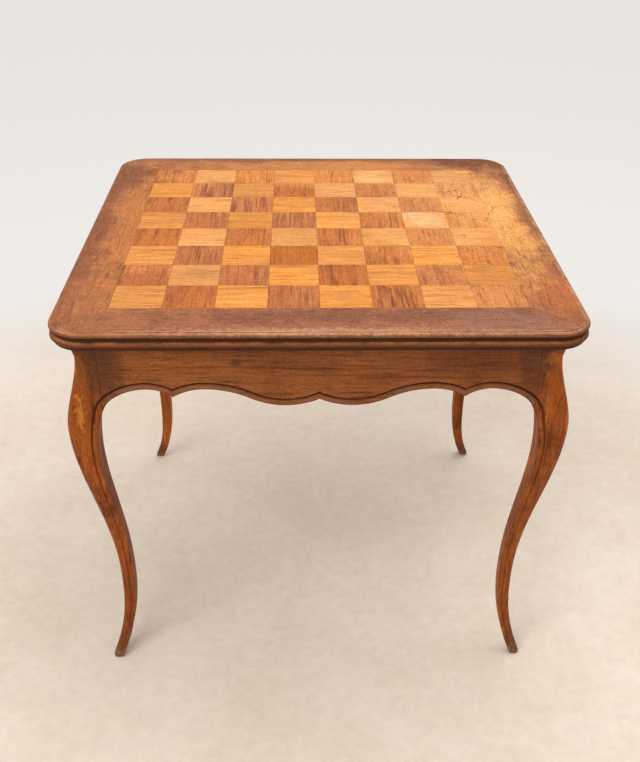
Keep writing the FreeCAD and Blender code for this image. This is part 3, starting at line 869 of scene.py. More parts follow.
def piece(
    name: str,
    points: list[Point],
    faces: list[tuple[int, ...]],
    wood: Wood,
    body: str,
    nodes: tuple[str, ...] = (),
    rub_highlight_and_shade: dict[str, list[float]] | None = None,
) -> bpy.types.Object:
    """Make one wooden piece and set it on its body.

    Args:
        name: the piece's name.
        points: its points in millimetres.
        faces: its faces as indices of points.
        wood: its finish.
        body: the body that it rides on.
        nodes: the solids that it stands for.
        rub_highlight_and_shade: how much rub and painted highlight, and how much painted shade, each point
            gets.

    Returns:
        The new object.
    """
    mesh = bpy.data.meshes.new(name)
    mesh.from_pydata([(x * MM, y * MM, z * MM) for x, y, z in points], [], faces)
    for kind, values in (rub_highlight_and_shade or {}).items():
        mesh.attributes.new(kind, "FLOAT", "POINT").data.foreach_set("value", values)
    shape = bmesh.new()
    shape.from_mesh(mesh)
    bmesh.ops.remove_doubles(shape, verts=shape.verts, dist=WELD)
    bmesh.ops.dissolve_degenerate(shape, edges=shape.edges, dist=SLIVER)
    bmesh.ops.recalc_face_normals(shape, faces=shape.faces)
    shape.to_mesh(mesh)
    shape.free()
    mesh.shade_smooth()
    mesh.set_sharp_from_angle(angle=SHARP)
    mesh.materials.append(wood.material())
    made = bpy.data.objects.new(name, mesh)
    bpy.context.scene.collection.objects.link(made)
    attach(made, body)
    if nodes:
        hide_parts(*nodes)
    LOG.info("%s: %d faces", name, len(mesh.polygons))
    return made


def skin(rings: list[list[Point]], solid: bool = True) -> Shell:
    """Join rings of points by faces.

    Args:
        rings: rings with the same number of points.
        solid: whether the rings close and the two ends are covered, or an open strip is made.

    Returns:
        The points and the faces.
    """
    size = len(rings[0])
    points = [point for ring in rings for point in ring]
    faces: list[tuple[int, ...]] = []
    for k in range(len(rings) - 1):
        for i in range(size if solid else size - 1):
            j = (i + 1) % size
            faces.append((k * size + i, k * size + j, (k + 1) * size + j, (k + 1) * size + i))
    if solid:
        faces.append(tuple(range(size)))
        faces.append(tuple(range((len(rings) - 1) * size, len(rings) * size)))
    return points, faces


def gather(shells: Iterable[Shell]) -> Shell:
    """Join several shells into one.

    Args:
        shells: the points and faces of each.

    Returns:
        The points and the faces of all.
    """
    points: list[Point] = []
    faces: list[tuple[int, ...]] = []
    for own, sides in shells:
        base = len(points)
        points.extend(own)
        faces.extend(tuple(base + i for i in face) for face in sides)
    return points, faces


@dataclass
class Moulding:
    """Edge of the top and of the leaves: quirk, thumb, nose and cove, in millimetres."""

    half: float = 424.0
    corner: float = 58.0
    reach: float = 5.0
    quirk_inset: float = 7.0
    quirk_depth: float = 1.2
    thumb_drop: float = 5.0
    nose_flat: float = 1.5
    thumb_bulge: float = 1.7
    cove_hollow: float = 1.8
    eased: float = 0.5
    rim: float = 2.6
    thumb_steps: int = 10
    cove_steps: int = 8
    # Painted highlight on the top of the nose, and painted shade in the quirk, under the nose and in the cove.
    thumb_highlight: float = 0.46
    thumb_highlight_fade: float = 0.07
    thumb_shading_from: int = 5
    thumb_shading: float = 0.15
    quirk_shading: float = 0.75
    cove_shading: float = 0.1

    def profile(self, thick: float, low: float) -> list[tuple[float, float, float, float]]:
        """Section from the top to the underside.

        Args:
            thick: thickness of the board.
            low: height of its underside.

        Returns:
            Points as (distance in from the outline, height, rub and painted highlight, painted shade).
        """
        high = low + thick
        z_quirk = high - self.quirk_depth
        z_nose = z_quirk - self.thumb_drop
        z_fillet = z_nose - self.nose_flat
        inset = self.quirk_inset
        points = [(inset + self.rim, high, 0.0, 0.0), (inset + self.eased, high, 0.85, 0.0)]
        points += [(inset + 0.12, high - self.eased, 0.6, 0.1), (inset, z_quirk, 0.0, self.quirk_shading)]
        thumb = self.bowed((inset, z_quirk), (0.0, z_nose), self.thumb_bulge, self.thumb_steps)
        for step, spot in enumerate(thumb):
            rub = max(self.thumb_highlight - self.thumb_highlight_fade * step, 0.0)
            soot = min(self.thumb_shading * max(step - self.thumb_shading_from, 0), self.quirk_shading)
            points.append((*spot, rub, soot))
        cove = self.bowed((0.0, z_fillet), (self.reach, low), -self.cove_hollow, self.cove_steps)
        for step, spot in enumerate(cove):
            points.append((*spot, 0.0, min(self.quirk_shading + self.cove_shading * step, 1.0)))
        return points

    def bowed(self, start: Plan, end: Plan, bulge: float, steps: int) -> list[Plan]:
        """Bowed line of an edge, out and up by its bulge in the middle.

        Args:
            start: first point.
            end: last point.
            bulge: how far out and up the middle goes.
            steps: number of stretches.

        Returns:
            Points after the first, and the first where the line is hollow.
        """
        line = []
        for step in range(0 if bulge < 0 else 1, steps + 1):
            share = step / steps
            swell = 4 * share * (1 - share) * bulge
            across = start[0] + (end[0] - start[0]) * share - swell
            line.append((across, start[1] + (end[1] - start[1]) * share + abs(swell)))
        return line


@dataclass
class BorderLength:
    """One length of a moulded border with round corners, mitred or cut square at its ends."""

    name: str
    side: Side
    wood: Wood
    body: str
    node: str
    low: float
    thick: float
    start: float | None = None
    end: float | None = None
    # Strength of the painted highlight and rub, and of the painted shade, along the edge.
    highlight_and_rub: float = 1.0
    soot: float = 0.95
    inner: float = 336.0
    seam: float = 0.075
    corner_steps: int = 10
    straight_steps: int = 12

    def build(self, moulding: Moulding) -> None:
        """Sweep the moulding along the border's outline.

        Args:
            moulding: the edge's section.
        """
        section = moulding.profile(self.thick, self.low)
        rings = []
        path = self.path(moulding)
        for x, y, nx, ny in path:
            ring = [(x + nx * depth, y + ny * depth, height) for depth, height, _, _ in section]
            edge = min(max(x, -self.inner), self.inner)
            ring.append((edge, -self.inner - self.seam, self.low))
            ring.append((edge, -self.inner - self.seam, self.low + self.thick))
            rings.append([self.side.place(*point) for point in ring])
        rub = ([min(self.highlight_and_rub * spot[2], 1.0) for spot in section] + [0.0, 0.0]) * len(path)
        grime = ([self.soot * spot[3] for spot in section] + [0.0, 0.0]) * len(path)
        piece(self.name, *skin(rings), self.wood, self.body, (self.node,), {"rub": rub, "grime": grime})

    def path(self, moulding: Moulding) -> list[tuple[float, float, float, float]]:
        """Outline of the border as on the front side.

        Args:
            moulding: the edge, for the outline's size.

        Returns:
            Points with the direction into the wood.
        """
        centre = moulding.half - moulding.corner
        turns = [45 * step / self.corner_steps for step in range(self.corner_steps + 1)]
        first = -centre if self.start is None else self.start
        last = centre if self.end is None else self.end
        shares = [step / self.straight_steps for step in range(self.straight_steps + 1)]
        stops = [(-centre, 225 + turn) for turn in turns] if self.start is None else []
        stops += [(first + (last - first) * share, 270) for share in shares]
        stops += [(centre, 270 + turn) for turn in turns] if self.end is None else []
        path = []
        for x, turn in stops:
            nx, ny = math.cos(math.radians(turn)), math.sin(math.radians(turn))
            path.append((x + moulding.corner * nx, -centre + moulding.corner * ny, -nx, -ny))
        return path


@dataclass
class Top:
    """Loose top: mitred border and the board of eased squares."""

    height: float = 755.0
    thick: float = 16.0
    square: float = 84.0
    count: int = 8
    square_thick: float = 5.0
    seam: float = 0.075
    eased: float = 0.2

    # Painted highlight and rub on each side's edge, strongest on the lit front and right.
    HIGHLIGHT_AND_RUB: ClassVar[dict[Side, float]] = {Side.FRONT: 0.9, Side.RIGHT: 1.1, Side.BACK: 0.3, Side.LEFT: 0.15}

    def build(self, moulding: Moulding) -> None:
        """Build the border and the squares.

        Args:
            moulding: the border's edge.
        """
        low = self.height - self.thick
        for side in Side:
            label = side.name.lower()
            wood = BORDER_X if side in (Side.FRONT, Side.BACK) else BORDER_Y
            name, node = "border_length_" + label, "top_border_" + label
            edge = BorderLength(name, side, wood, "top", node, low, self.thick, highlight_and_rub=self.HIGHLIGHT_AND_RUB[side])
            edge.build(moulding)
        places = [(column, row) for column in range(self.count) for row in range(self.count)]
        for parity, wood, node in ((0, LIGHT_SQUARE, "light_squares"), (1, DARK_SQUARE, "dark_squares")):
            tiles = gather(self.tile(*place) for place in places if sum(place) % 2 == parity)
            piece("inlaid_" + node, *tiles, wood, "top", (node,))

    def tile(self, column: int, row: int) -> Shell:
        """One square with eased edges.

        Args:
            column: place from the left.
            row: place from the front.

        Returns:
            The points and the faces.
        """
        half = self.square * self.count / 2
        rings = []
        low = self.height - self.square_thick
        for inset, height in ((0.0, low), (0.0, self.height - self.eased), (self.eased, self.height)):
            near = self.seam + inset
            x0, x1 = column * self.square - half + near, (column + 1) * self.square - half - near
            y0, y1 = row * self.square - half + near, (row + 1) * self.square - half - near
            rings.append([(x0, y0, height), (x1, y0, height), (x1, y1, height), (x0, y1, height)])
        return skin(rings)


@dataclass
class Leaf:
    """One draw leaf's moulded border, to the front or to the back."""

    label: str
    low: float = 723.3
    thick: float = 15.4
    inner_end: float = 55.5
    # Painted highlight on the leaf's nose, raised to lift it out of the top's shade, and painted shade below
    # it.
    highlight_and_rub: float = 2.0
    soot: float = 0.82

    def build(self, moulding: Moulding) -> None:
        """Build the three border lengths.

        Args:
            moulding: the border's edge.
        """
        body = "leaf_" + self.label
        front = self.label == "front"
        cut_first, cut_last = (self.inner_end, None), (None, -self.inner_end)
        lengths = (
            ("end", Side.FRONT if front else Side.BACK, LEAF_EDGE_X, (None, None)),
            ("right", Side.RIGHT, LEAF_EDGE_Y, cut_last if front else cut_first),
            ("left", Side.LEFT, LEAF_EDGE_Y, cut_first if front else cut_last),
        )
        for part, side, wood, cuts in lengths:
            name, node = f"{body}_edge_{part}", f"{body}_border_{part}"
            sizes = (self.low, self.thick, *cuts, self.highlight_and_rub, self.soot)
            BorderLength(name, side, wood, body, node, *sizes).build(moulding)


@dataclass
class Legs:
    """Cabriole legs with a swelling knee, a beaded inner edge and a rounded toe."""

    frame_x: float = 398.0
    frame_y: float = 352.0
    height: float = 723.0
    post: float = 37.0
    flare_out: float = 13.0
    flare_drop: float = 51.0
    flare_sweep: float = 1.15
    knee_out: float = 20.5
    knee_height: float = 548.06
    knee_width: float = 49.5
    knee_swell: float = 1.15
    knee_taper: float = 1.8
    ankle_out: float = -28.0
    ankle_height: float = 165.0
    ankle_width: float = 24.0
    toe_out: float = -0.5
    toe_height: float = 6.0
    toe_width: float = 19.0
    foot_sweep: float = 2.5
    spring: float = 570.06
    arch_centre: float = 553.0
    arch_radius: float = 50.0
    arch_inside: float = 47.0
    quirk_insets: Plan = (11.8, 14.8)
    bead: float = 10.5
    bead_sink: float = 4.2
    bead_least: float = 0.3
    bead_start: float = 330.0
    bead_run: float = 230.0
    arris: float = 6.5
    arris_growth: float = 3.5
    arris_start: float = 250.0
    arris_run: float = 250.0
    level_run: float = 55.0
    slim: float = 0.42
    quirk_share: float = 0.86
    quirk_least: Plan = (0.15, 0.3)
    # Painted shade in the quirk beside the bead, growing towards the knee.
    soot: float = 0.1
    soot_growth: float = 0.7
    soot_start: float = 480.0
    soot_run: float = 90.0
    steps: int = 120

    # Bead section: share of the bead's width, depth, and painted shade in the quirk and at its edges.
    BEAD: ClassVar[tuple[Point, ...]] = (
        (0.0, 0.75, 0.5),
        (0.08, 0.45, 0.15),
        (0.25, 0.24, 0.0),
        (0.53, 0.16, 0.0),
        (0.77, 0.24, 0.0),
        (0.92, 0.48, 0.1),
        (1.0, 1.0, 0.9),
        (1.0, 1.0, 0.9),
    )
    FLAT: ClassVar[tuple[float, ...]] = (0.05, 0.2, 0.42, 0.64, 0.84, 0.95)
    CORNER_STEPS: ClassVar[int] = 6
    TOE: ClassVar[dict[float, float]] = {0.0: 0.60, 1.0: 0.80, 2.5: 0.91, 5.0: 0.975, 8.0: 1.0}

    def out(self, z: float) -> float:
        """Outward offset of the outer outline at a height.

        Args:
            z: the height.

        Returns:
            The offset from the frame.
        """
        neck = self.height - self.flare_drop
        if z <= self.ankle_height:
            share = min((self.ankle_height - z) / (self.ankle_height - self.toe_height), 1.0)
            return self.ankle_out + (self.toe_out - self.ankle_out) * share**self.foot_sweep
        if z <= self.knee_height:
            swell = ((z - self.ankle_height) / (self.knee_height - self.ankle_height)) ** self.knee_swell
            return self.ankle_out + (self.knee_out - self.ankle_out) * smoothstep(swell)
        if z <= neck:
            return self.knee_out * (1 - smoothstep((z - self.knee_height) / (neck - self.knee_height)))
        return self.flare_out * ((z - neck) / self.flare_drop) ** self.flare_sweep

    def inner(self, z: float) -> float:
        """Offset of the inner outline at a height: the leg's own line, then the end of the apron's arch.

        Args:
            z: the height.

        Returns:
            The offset from the frame.
        """
        if z >= self.spring:
            return -self.post
        if z <= self.ankle_height:
            share = min((self.ankle_height - z) / (self.ankle_height - self.toe_height), 1.0)
            return self.out(z) - self.ankle_width - (self.toe_width - self.ankle_width) * share
        run = self.knee_height - self.ankle_height
        if z <= self.knee_height:
            share = (z - self.ankle_height) / run
            growth = (self.knee_width - self.ankle_width) * share**self.knee_taper
            return self.out(z) - self.ankle_width - growth
        start, end = self.knee_out - self.knee_width, -self.post
        rise = self.spring - self.knee_height
        lean = -(self.knee_width - self.ankle_width) * self.knee_taper / run * rise
        steep = -(self.spring - self.arch_centre) / self.arch_inside * rise
        t = (z - self.knee_height) / rise
        line = start * (2 * t**3 - 3 * t**2 + 1) + end * (3 * t**2 - 2 * t**3)
        return line + lean * (t**3 - 2 * t**2 + t) + steep * (t**3 - t**2)

    def corner(self, z: float) -> float:
        """Radius of the outer arris at a height."""
        radius = self.arris + self.arris_growth * smoothstep((z - self.arris_start) / self.arris_run)
        return min(radius, self.slim * (self.out(z) - self.inner(z)))

    def face(self, along: float, z: float) -> float:
        """Outward offset of a face: level with the apron beside it, then swelling.

        Args:
            along: offset along the face.
            z: the height.

        Returns:
            The offset from the frame.
        """
        level = smoothstep((z - self.spring + self.level_run) / self.level_run)
        inner = self.inner(z)
        share = (along - inner) / (self.out(z) - inner - self.corner(z))
        return self.out(z) * (1 - level * (1 - smoothstep(share)))

    def quirk(self, z: float) -> Plan:
        """Near and far side of the quirk on a face at a height, up to where it leaves for the apron.

        Args:
            z: the height.

        Returns:
            Two distances from the face's inner edge.
        """
        if z <= self.arch_centre:
            far = min(self.bead, self.slim * (self.out(z) - self.inner(z)))
            return (self.quirk_share * far, far)
        sides = []
        for inset, least in zip(self.quirk_insets, self.quirk_least):
            reach = (self.arch_radius + inset) ** 2 - (z - self.arch_centre) ** 2
            line = math.sqrt(max(reach, 0.0)) - self.arch_inside - self.post
            sides.append(max(line - self.inner(z), least))
        return (sides[0], sides[1])

    def half_section(self, z: float) -> list[Plan]:
        """One outer face at a height, from its beaded inner edge to the rounded corner.

        Args:
            z: the height.

        Returns:
            Points as (offset along the face, offset out).
        """
        out, inner, corner = self.out(z), self.inner(z), self.corner(z)
        bead, far = self.quirk(z)
        deep = self.bead_least + (1 - self.bead_least) * smoothstep((z - self.bead_start) / self.bead_run)
        sink = self.bead_sink * min(1.0, far / 1.5) * deep
        points = [(inner + bead * share, -sink * depth) for share, depth, _ in self.BEAD[:-1]]
        points.append((inner + far, -sink * self.BEAD[-1][1]))
        lip = far + 0.25 * sink
        points += [(inner + far + 0.08 * sink, -0.5 * sink), (inner + lip, -0.1 * sink)]
        flat = out - inner - corner
        points += [(inner + lip + (flat - lip) * share, 0.0) for share in self.FLAT]
        points = [(along, self.face(along, z) + depth) for along, depth in points]
        for step in range(self.CORNER_STEPS + 1):
            turn = math.radians(90 - 45 * step / self.CORNER_STEPS)
            points.append((out - corner + corner * math.cos(turn), out - corner + corner * math.sin(turn)))
        return points

    def grime(self, z: float, count: int) -> list[float]:
        """How much painted shade each point of the section at a height gets, in the quirk beside the bead.

        Args:
            z: the height.
            count: number of points of the section.

        Returns:
            A share for each point.
        """
        fade = self.soot + self.soot_growth * smoothstep((z - self.soot_start) / self.soot_run)
        if z > self.spring and self.quirk(z)[1] < 1.0:
            fade = 0.0
        clean = len(self.FLAT) + self.CORNER_STEPS + 1
        half = [grime * fade for _, _, grime in self.BEAD] + [0.5 * fade, 0.0] + [0.0] * clean
        whole = half + half[-2::-1]
        return whole + [0.0] * (count - len(whole))

    def section(self, z: float) -> list[Plan]:
        """Whole section of the +X +Y leg at a height, as offsets from the frame's corner.

        Args:
            z: the height.

        Returns:
            The closed outline.
        """
        half = self.half_section(z)
        inner = self.inner(z)
        reach = half[0][1]
        points = list(half)
        points += [(y, x) for x, y in reversed(half[:-1])]
        points += [(inner + (reach - inner) * share, inner) for share in (0.75, 0.5, 0.25)]
        points.append((inner, inner))
        points += [(inner, inner + (reach - inner) * share) for share in (0.25, 0.5, 0.75)]
        return points

    def build(self) -> None:
        """Build the four legs."""
        heights = list(self.TOE)
        low = heights[-1]
        heights += [low + (self.height - low) * step / self.steps for step in range(1, self.steps + 1)]
        outlines: list[list[Plan]] = []
        grime: list[float] = []
        for z in heights:
            section = self.section(z)
            mid, grip = (self.out(z) + self.inner(z)) / 2, self.TOE.get(z, 1.0)
            outlines.append([(mid + (x - mid) * grip, mid + (y - mid) * grip) for x, y in section])
            grime += self.grime(z, len(section))
        for sy, depth in ((-1, "front"), (1, "back")):
            for sx, hand in ((-1, "left"), (1, "right")):
                rings = []
                for z, outline in zip(heights, outlines):
                    rings.append([(sx * (self.frame_x + x), sy * (self.frame_y + y), z) for x, y in outline])
                name, node = f"cabriole_{depth}_{hand}", f"leg_{depth}_{hand}"
                piece(name, *skin(rings), LEG, "frame", (node,), {"grime": grime})


@dataclass
class Pegs:
    """Ends of the drawbore pegs, a little domed, on the faces of the legs."""

    radius: float = 3.6
    proud: float = 0.5
    sink: float = 12.0
    inset: float = 28.0
    front_drops: Plan = (38.0, 84.0)
    side_drops: Plan = (54.0, 100.0)
    sides: int = 16

    def build(self, legs: Legs) -> None:
        """Build all pegs as one piece.

        Args:
            legs: the legs whose faces they end on.
        """
        shells = []
        for sx in (-1, 1):
            for sy in (-1, 1):
                for drops, on_side in ((self.front_drops, False), (self.side_drops, True)):
                    for drop in drops:
                        rings = self.peg(legs, drop)
                        shells.append(skin([self.placed(legs, ring, sx, sy, on_side) for ring in rings]))
        piece("peg_ends", *gather(shells), PEG, "frame", ("drawbore_pegs",))

    def placed(self, legs: Legs, ring: list[Point], sx: int, sy: int, on_side: bool) -> list[Point]:
        """Set a ring of a peg on its leg.

        Args:
            legs: the legs.
            ring: points as offsets along the face, out of it, and height.
            sx: -1 for the left, 1 for the right.
            sy: -1 for the front, 1 for the back.
            on_side: whether the face looks to the side.

        Returns:
            The points.
        """
        spots = [(b, a, z) if on_side else (a, b, z) for a, b, z in ring]
        return [(sx * (legs.frame_x + x), sy * (legs.frame_y + y), z) for x, y, z in spots]

    def peg(self, legs: Legs, drop: float) -> list[list[Point]]:
        """One peg as rings of offsets along the face, out of it, and heights.

        Args:
            legs: the legs.
            drop: distance below the frame's top.

        Returns:
            The rings from inside out.
        """
        z = legs.height - drop
        out = legs.face(-self.inset, z)
        turns = [2 * math.pi * step / self.sides for step in range(self.sides)]
        rings = []
        for size, height in ((1.0, -self.sink), (1.0, 0.1), (0.86, 0.7 * self.proud), (0.45, self.proud)):
            reach = size * self.radius
            rings.append(
                [(reach * math.cos(t) - self.inset, out + height, z + reach * math.sin(t)) for t in turns]
            )
        return rings


@dataclass
class ApronBead:
    """Rounded bead in the sunk band along the scalloped edge of one apron."""

    side: Side
    wood: Wood
    shoulder: float
    face: float
    lobe: float
    arch: float
    cusp_span: float
    end_span: float = 74.0
    top: float = 723.0
    lobe_drop: float = 143.0
    notch_drop: float = 130.7
    arch_drop: float = 111.5
    cusp_drop: float = 126.5
    end_height: float = 553.0
    end_radius: float = 50.0
    end_inside: float = 47.0
    sink: float = 4.5
    steps: int = 14

    # Rows: inset, height, dust on the bead, and painted shade in the quirk and under the bead.
    SECTION: ClassVar[tuple[tuple[float, float, float, float], ...]] = (
        (0.1, -0.4, 0.0, 0.9),
        (0.4, 1.4, 0.0, 0.7),
        (1.8, 2.9, 0.3, 0.3),
        (4.4, 3.7, 0.6, 0.0),
        (7.2, 3.8, 0.6, 0.0),
        (9.6, 3.1, 0.3, 0.2),
        (11.2, 1.8, 0.0, 0.75),
        (11.8, 0.25, 0.0, 0.9),
        (14.8, 0.2, 0.0, 0.9),
    )

    def half_path(self, inset: float) -> list[Plan]:
        """Right half of the scalloped edge moved into the wood, as tangent arcs.

        Args:
            inset: how far into the wood.

        Returns:
            Points as (x, z) from the middle out.
        """
        z_lobe, z_arch = self.top - self.lobe_drop, self.top - self.arch_drop
        end_arch = self.shoulder - self.end_span
        cusp = end_arch - self.cusp_span
        lobe_r = self.rise(self.lobe, self.lobe_drop - self.notch_drop)
        in_r = self.rise(self.arch - self.lobe, self.lobe_drop - self.arch_drop) - lobe_r
        out_r = self.rise(cusp - self.arch, self.cusp_drop - self.arch_drop)
        end_in_r = self.rise(self.cusp_span, self.cusp_drop - self.arch_drop)
        run = self.end_span - self.end_inside
        fall = z_arch - self.end_height
        end_out_r = (run**2 + fall**2 - self.end_radius**2) / (2 * (fall - self.end_radius))
        lobe_c = (self.lobe, z_lobe + lobe_r)
        in_c, out_c = (self.arch, z_arch - in_r), (self.arch, z_arch - out_r)
        end_in_c, end_out_c = (end_arch, z_arch - end_in_r), (end_arch, z_arch - end_out_r)
        end_c = (self.shoulder - self.end_inside, self.end_height)
        notch = (0.0, lobe_c[1] - math.sqrt((lobe_r - inset) ** 2 - self.lobe**2))
        turn_in = self.towards(lobe_c, in_c, lobe_r - inset)
        point = self.meet(out_c, out_r + inset, end_in_c, end_in_r + inset)
        turn_out = self.towards(end_out_c, end_c, end_out_r + inset)
        end = (self.shoulder, end_c[1] + math.sqrt((self.end_radius + inset) ** 2 - self.end_inside**2))
        peak, end_peak = (self.arch, z_arch + inset), (end_arch, z_arch + inset)
        stops = [notch, turn_in, peak, point, end_peak, turn_out, end]
        centres = [lobe_c, in_c, out_c, end_in_c, end_out_c, end_c]
        path = [notch]
        for centre, start, stop in zip(centres, stops, stops[1:]):
            path += self.arc(centre, start, stop)
        return path

    def rise(self, run: float, height: float) -> float:
        """Radius of an arc that starts level and rises by a height over a run."""
        return (run**2 + height**2) / (2 * abs(height))

    def towards(self, start: Plan, aim: Plan, length: float) -> Plan:
        """Point at a length from one point towards another."""
        way = Vector(aim) - Vector(start)
        return tuple(Vector(start) + way.normalized() * length)

    def meet(self, a: Plan, radius_a: float, b: Plan, radius_b: float) -> Plan:
        """Upper crossing of two circles.

        Args:
            a: first centre.
            radius_a: first radius.
            b: second centre.
            radius_b: second radius.

        Returns:
            The crossing.
        """
        between = Vector(b) - Vector(a)
        span = between.length
        along = (span**2 + radius_a**2 - radius_b**2) / (2 * span)
        off = math.sqrt(radius_a**2 - along**2)
        way = between / span
        middle = Vector(a) + way * along
        side = Vector((-way.y, way.x)) * off
        return tuple(max((middle + side, middle - side), key=lambda point: point.y))

    def arc(self, centre: Plan, start: Plan, stop: Plan) -> list[Plan]:
        """Points along an arc of under a half circle, after its first.

        Args:
            centre: the arc's centre.
            start: its first point.
            stop: its last point.

        Returns:
            The points.
        """
        first = math.atan2(start[1] - centre[1], start[0] - centre[0])
        turn = math.atan2(stop[1] - centre[1], stop[0] - centre[0]) - first
        turn = (turn + math.pi) % (2 * math.pi) - math.pi
        radius = math.dist(start, centre)
        angles = [first + turn * step / self.steps for step in range(1, self.steps + 1)]
        return [(centre[0] + radius * math.cos(a), centre[1] + radius * math.sin(a)) for a in angles]

    def build(self) -> None:
        """Build the bead and the quirk behind it as one strip from leg to leg."""
        lines, rub, grime = [], [], []
        for inset, height, dust, soot in self.SECTION:
            half = self.half_path(inset)
            line = [(-x, z) for x, z in reversed(half[1:])] + half
            lines.append([self.side.place(x, -self.face + self.sink - height, z) for x, z in line])
            rub += [dust] * len(line)
            grime += [soot] * len(line)
        name = "apron_bead_" + self.side.name.lower()
        piece(name, *skin(lines, solid=False), self.wood, "frame", (), {"rub": rub, "grime": grime})


@dataclass
class Screws:
    """Slotted screws under the leaves' bearers and in the corner blocks."""

    radius: float = 4.2
    slot: float = 0.55
    depth: float = 1.0
    proud: float = 0.25
    arc: int = 13
    bearer_under: float = 691.3
    bearer_first: float = 103.0
    bearer_pitch: float = 95.0
    block: Point = (329.7, 283.7, 680.0)
    block_pitch: float = 34.0

    BEARERS: ClassVar[tuple[tuple[str, float, int], ...]] = (("leaf_front", 200.0, -1), ("leaf_back", 228.0, 1))
    STEEL: ClassVar[Colour] = (0.22, 0.20, 0.18)
    RUSTY: ClassVar[Colour] = (0.16, 0.07, 0.03)

    def finish(self) -> bpy.types.Material:
        """Dull steel with some rust.

        Returns:
            The material.
        """
        s = Shader("old_screw")
        rust = s.cloud(s.place(), RUST)
        s.feed(s.skin["Base Color"], s.mix(rust, self.STEEL, self.RUSTY))
        s.feed(s.skin["Roughness"], s.plus(s.times(rust, 0.35), 0.4))
        s.skin["Metallic"].default_value = 0.8
        return s.material

    def head(self, centre: Vector, out: Vector, along: Vector) -> Shell:
        """One flat head with its slot.

        Args:
            centre: middle of the head, on the wood.
            out: direction out of the wood.
            along: direction of the slot.

        Returns:
            The points and the faces.
        """
        across = out.cross(along)
        size = self.arc
        points: list[Point] = []
        faces: list[tuple[int, ...]] = []
        for sign in (-1, 1):
            base = len(points)
            for height in (-self.depth, self.proud):
                for step in range(size):
                    turn = math.pi * step / (size - 1)
                    x = self.radius * math.cos(turn)
                    y = max(self.radius * math.sin(turn), self.slot)
                    points.append(tuple(centre + along * x + across * (sign * y) + out * height))
            faces.append(tuple(base + size + i for i in range(size)))
            for i in range(size):
                j = (i + 1) % size
                faces.append((base + i, base + j, base + size + j, base + size + i))
        return points, faces

    def build(self) -> None:
        """Build the screws of each body."""
        up = Vector((0, 0, 1))
        groups: dict[str, list[tuple[Vector, Vector, Vector]]] = {"frame": []}
        for body, across, sign in self.BEARERS:
            groups[body] = []
            for sx in (-1, 1):
                for step in range(3):
                    y = sign * (self.bearer_first + self.bearer_pitch * step)
                    angle = 0.7 * step + sx + sign
                    along = Vector((math.cos(angle), math.sin(angle), 0))
                    groups[body].append((Vector((sx * across, y, self.bearer_under)), -up, along))
        x, y, z = self.block
        for sx in (-1, 1):
            for sy in (-1, 1):
                out = Vector((-sx, -sy, 0)).normalized()
                side = Vector((sx, -sy, 0)).normalized()
                for step in (-1, 1):
                    spot = Vector((sx * x, sy * y, z)) + side * (step * self.block_pitch)
                    groups["frame"].append((spot, out, up))
        steel = self.finish()
        for body, heads in groups.items():
            made = piece("screws_" + body, *gather(self.head(*spot) for spot in heads), PEG, body)
            made.material_slots[0].material = steel


@dataclass
class Structure:
    """Solids that keep their shape and only get their finish."""

    def dress(self) -> None:
        """Give each kept solid its wood."""
        for name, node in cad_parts.items():
            wood = self.wood(name)
            for slot in node.material_slots:
                slot.material = wood.material()
            LOG.info("%s: %s", name, wood.name)

    def wood(self, name: str) -> Wood:
        """Choose the wood of a solid.

        Args:
            name: the solid's name.

        Returns:
            Its finish.
        """
        if name.startswith("apron_"):
            return APRON_X if name in ("apron_front", "apron_back") else APRON_Y
        if name.startswith("leg_"):
            return LEG
        if name == "centre_board":
            return CENTRE_BOARD
        if name.endswith("_panel"):
            return LEAF_FIELD
        if "border" in name:
            return BORDER_Y
        if "peg" in name:
            return PEG
        return INNER_Y if "bearer" in name else INNER_X


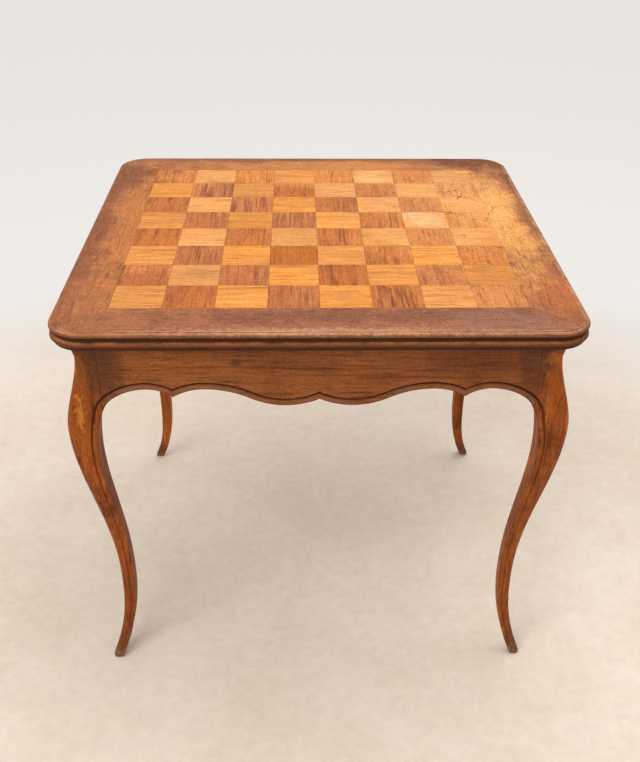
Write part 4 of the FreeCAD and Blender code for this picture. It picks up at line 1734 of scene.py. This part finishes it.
@dataclass
class Studio:
    """Pale floor, soft light and the camera."""

    focal_px: float = 984.6
    image: tuple[int, int] = (640, 762)
    pitch: float = 30.645
    yaw: float = 1.472
    roll: float = -0.551
    eye: Point = (-0.0354, -1.7421, 1.4531)
    half: float = 14.0
    middle: Point = (0.0, -0.4, 0.0)
    near: float = 1.15
    far: float = 2.1
    speckled: float = 0.34
    far_glow: float = 0.60
    sky: float = 0.62
    sky_shown: float = 0.78

    FLOOR: ClassVar[tuple[tuple[float, Colour], ...]] = (
        (0.34, (0.79, 0.665, 0.55)),
        (0.66, (0.90, 0.785, 0.67)),
    )
    FAR_FLOOR: ClassVar[Colour] = (0.27, 0.265, 0.26)
    LAMPS: ClassVar[tuple[tuple[str, Point, Point, float, float], ...]] = (
        ("window", (-1.5, -2.3, 2.6), (0.0, 0.0, 0.5), 2.4, 60.0),
        ("ceiling", (0.9, 0.6, 3.2), (0.0, 0.0, 0.7), 2.8, 40.0),
    )

    def build(self) -> None:
        """Set the stage."""
        self.floor()
        self.lights()
        self.camera()
        bpy.context.scene.view_settings.view_transform = "Standard"

    def floor(self) -> None:
        """Lay the floor."""
        s = Shader("pale_floor")
        place = s.place()
        near = s.ramp(s.noise(place, scale=2.3, detail=12.0, rough=0.70), self.FLOOR)
        speck = s.less(s.noise(place, scale=42.0, detail=7.0, rough=0.72), 0.5)
        near = s.level(s.plus(s.times(speck, self.speckled), 1.0), near)
        away = s.ease(s.distance(place, self.middle), self.near, self.far)
        s.feed(s.skin["Base Color"], s.mix(away, near, self.FAR_FLOOR))
        s.skin["Roughness"].default_value = 0.8
        s.skin["Specular IOR Level"].default_value = 0.2
        s.skin["Emission Color"].default_value = (1.0, 0.965, 0.93, 1.0)
        s.feed(s.skin["Emission Strength"], s.times(s.times(s.shown(), away), self.far_glow))
        corners = [(-1, -1), (1, -1), (1, 1), (-1, 1)]
        mesh = bpy.data.meshes.new("floor")
        mesh.from_pydata([(self.half * x, self.half * y, 0) for x, y in corners], [], [(0, 1, 2, 3)])
        mesh.materials.append(s.material)
        ground = bpy.data.objects.new("floor", mesh)
        bpy.context.scene.collection.objects.link(ground)

    def lights(self) -> None:
        """Light the table softly from all round and from above."""
        world = bpy.data.worlds.new("soft_room")
        world.use_nodes = True
        room = Nodes(world.node_tree)
        air = room.tree.nodes["Background"].inputs
        air["Color"].default_value = (1.0, 0.985, 0.96, 1.0)
        room.feed(air["Strength"], room.plus(room.times(room.shown(), self.sky_shown - self.sky), self.sky))
        bpy.context.scene.world = world
        for name, spot, aim, size, power in self.LAMPS:
            lamp = bpy.data.lights.new(name, "AREA")
            lamp.shape = "SQUARE"
            lamp.size = size
            lamp.energy = power
            made = bpy.data.objects.new(name, lamp)
            made.location = spot
            made.rotation_euler = (Vector(aim) - Vector(spot)).to_track_quat("-Z", "Y").to_euler()
            bpy.context.scene.collection.objects.link(made)

    def camera(self) -> None:
        """Stand the camera where the photographer's was."""
        pitch, yaw, roll = (math.radians(angle) for angle in (self.pitch, self.yaw, self.roll))
        ahead = Vector((math.sin(yaw) * math.cos(pitch), math.cos(yaw) * math.cos(pitch), -math.sin(pitch)))
        right = Vector((math.cos(yaw), -math.sin(yaw), 0.0))
        down = ahead.cross(right)
        level = right * math.cos(roll) + down * math.sin(roll)
        drop = down * math.cos(roll) - right * math.sin(roll)
        lens = bpy.data.cameras.new("camera")
        lens.lens = self.focal_px * lens.sensor_width / max(self.image)
        made = bpy.data.objects.new("camera", lens)
        turn = Matrix((level, -drop, -ahead)).transposed().to_4x4()
        made.matrix_world = Matrix.Translation(self.eye) @ turn
        bpy.context.scene.collection.objects.link(made)
        bpy.context.scene.camera = made


def main() -> None:
    """Build every sub-assembly in order."""
    logging.basicConfig(level=logging.INFO, format="%(name)s: %(message)s")
    moulding = Moulding()
    legs = Legs()
    Structure().dress()
    Top().build(moulding)
    for label in ("front", "back"):
        Leaf(label).build(moulding)
    legs.build()
    Pegs().build(legs)
    for side in Side:
        if side in (Side.FRONT, Side.BACK):
            bead = ApronBead(side, APRON_X, shoulder=361.0, face=351.7, lobe=56.0, arch=191.0, cusp_span=44.0)
        else:
            bead = ApronBead(side, APRON_Y, shoulder=315.0, face=397.7, lobe=40.0, arch=150.0, cusp_span=42.0)
        bead.build()
    Screws().build()
    Studio().build()
    LOG.info("built")


if __name__ == "__main__":
    main()
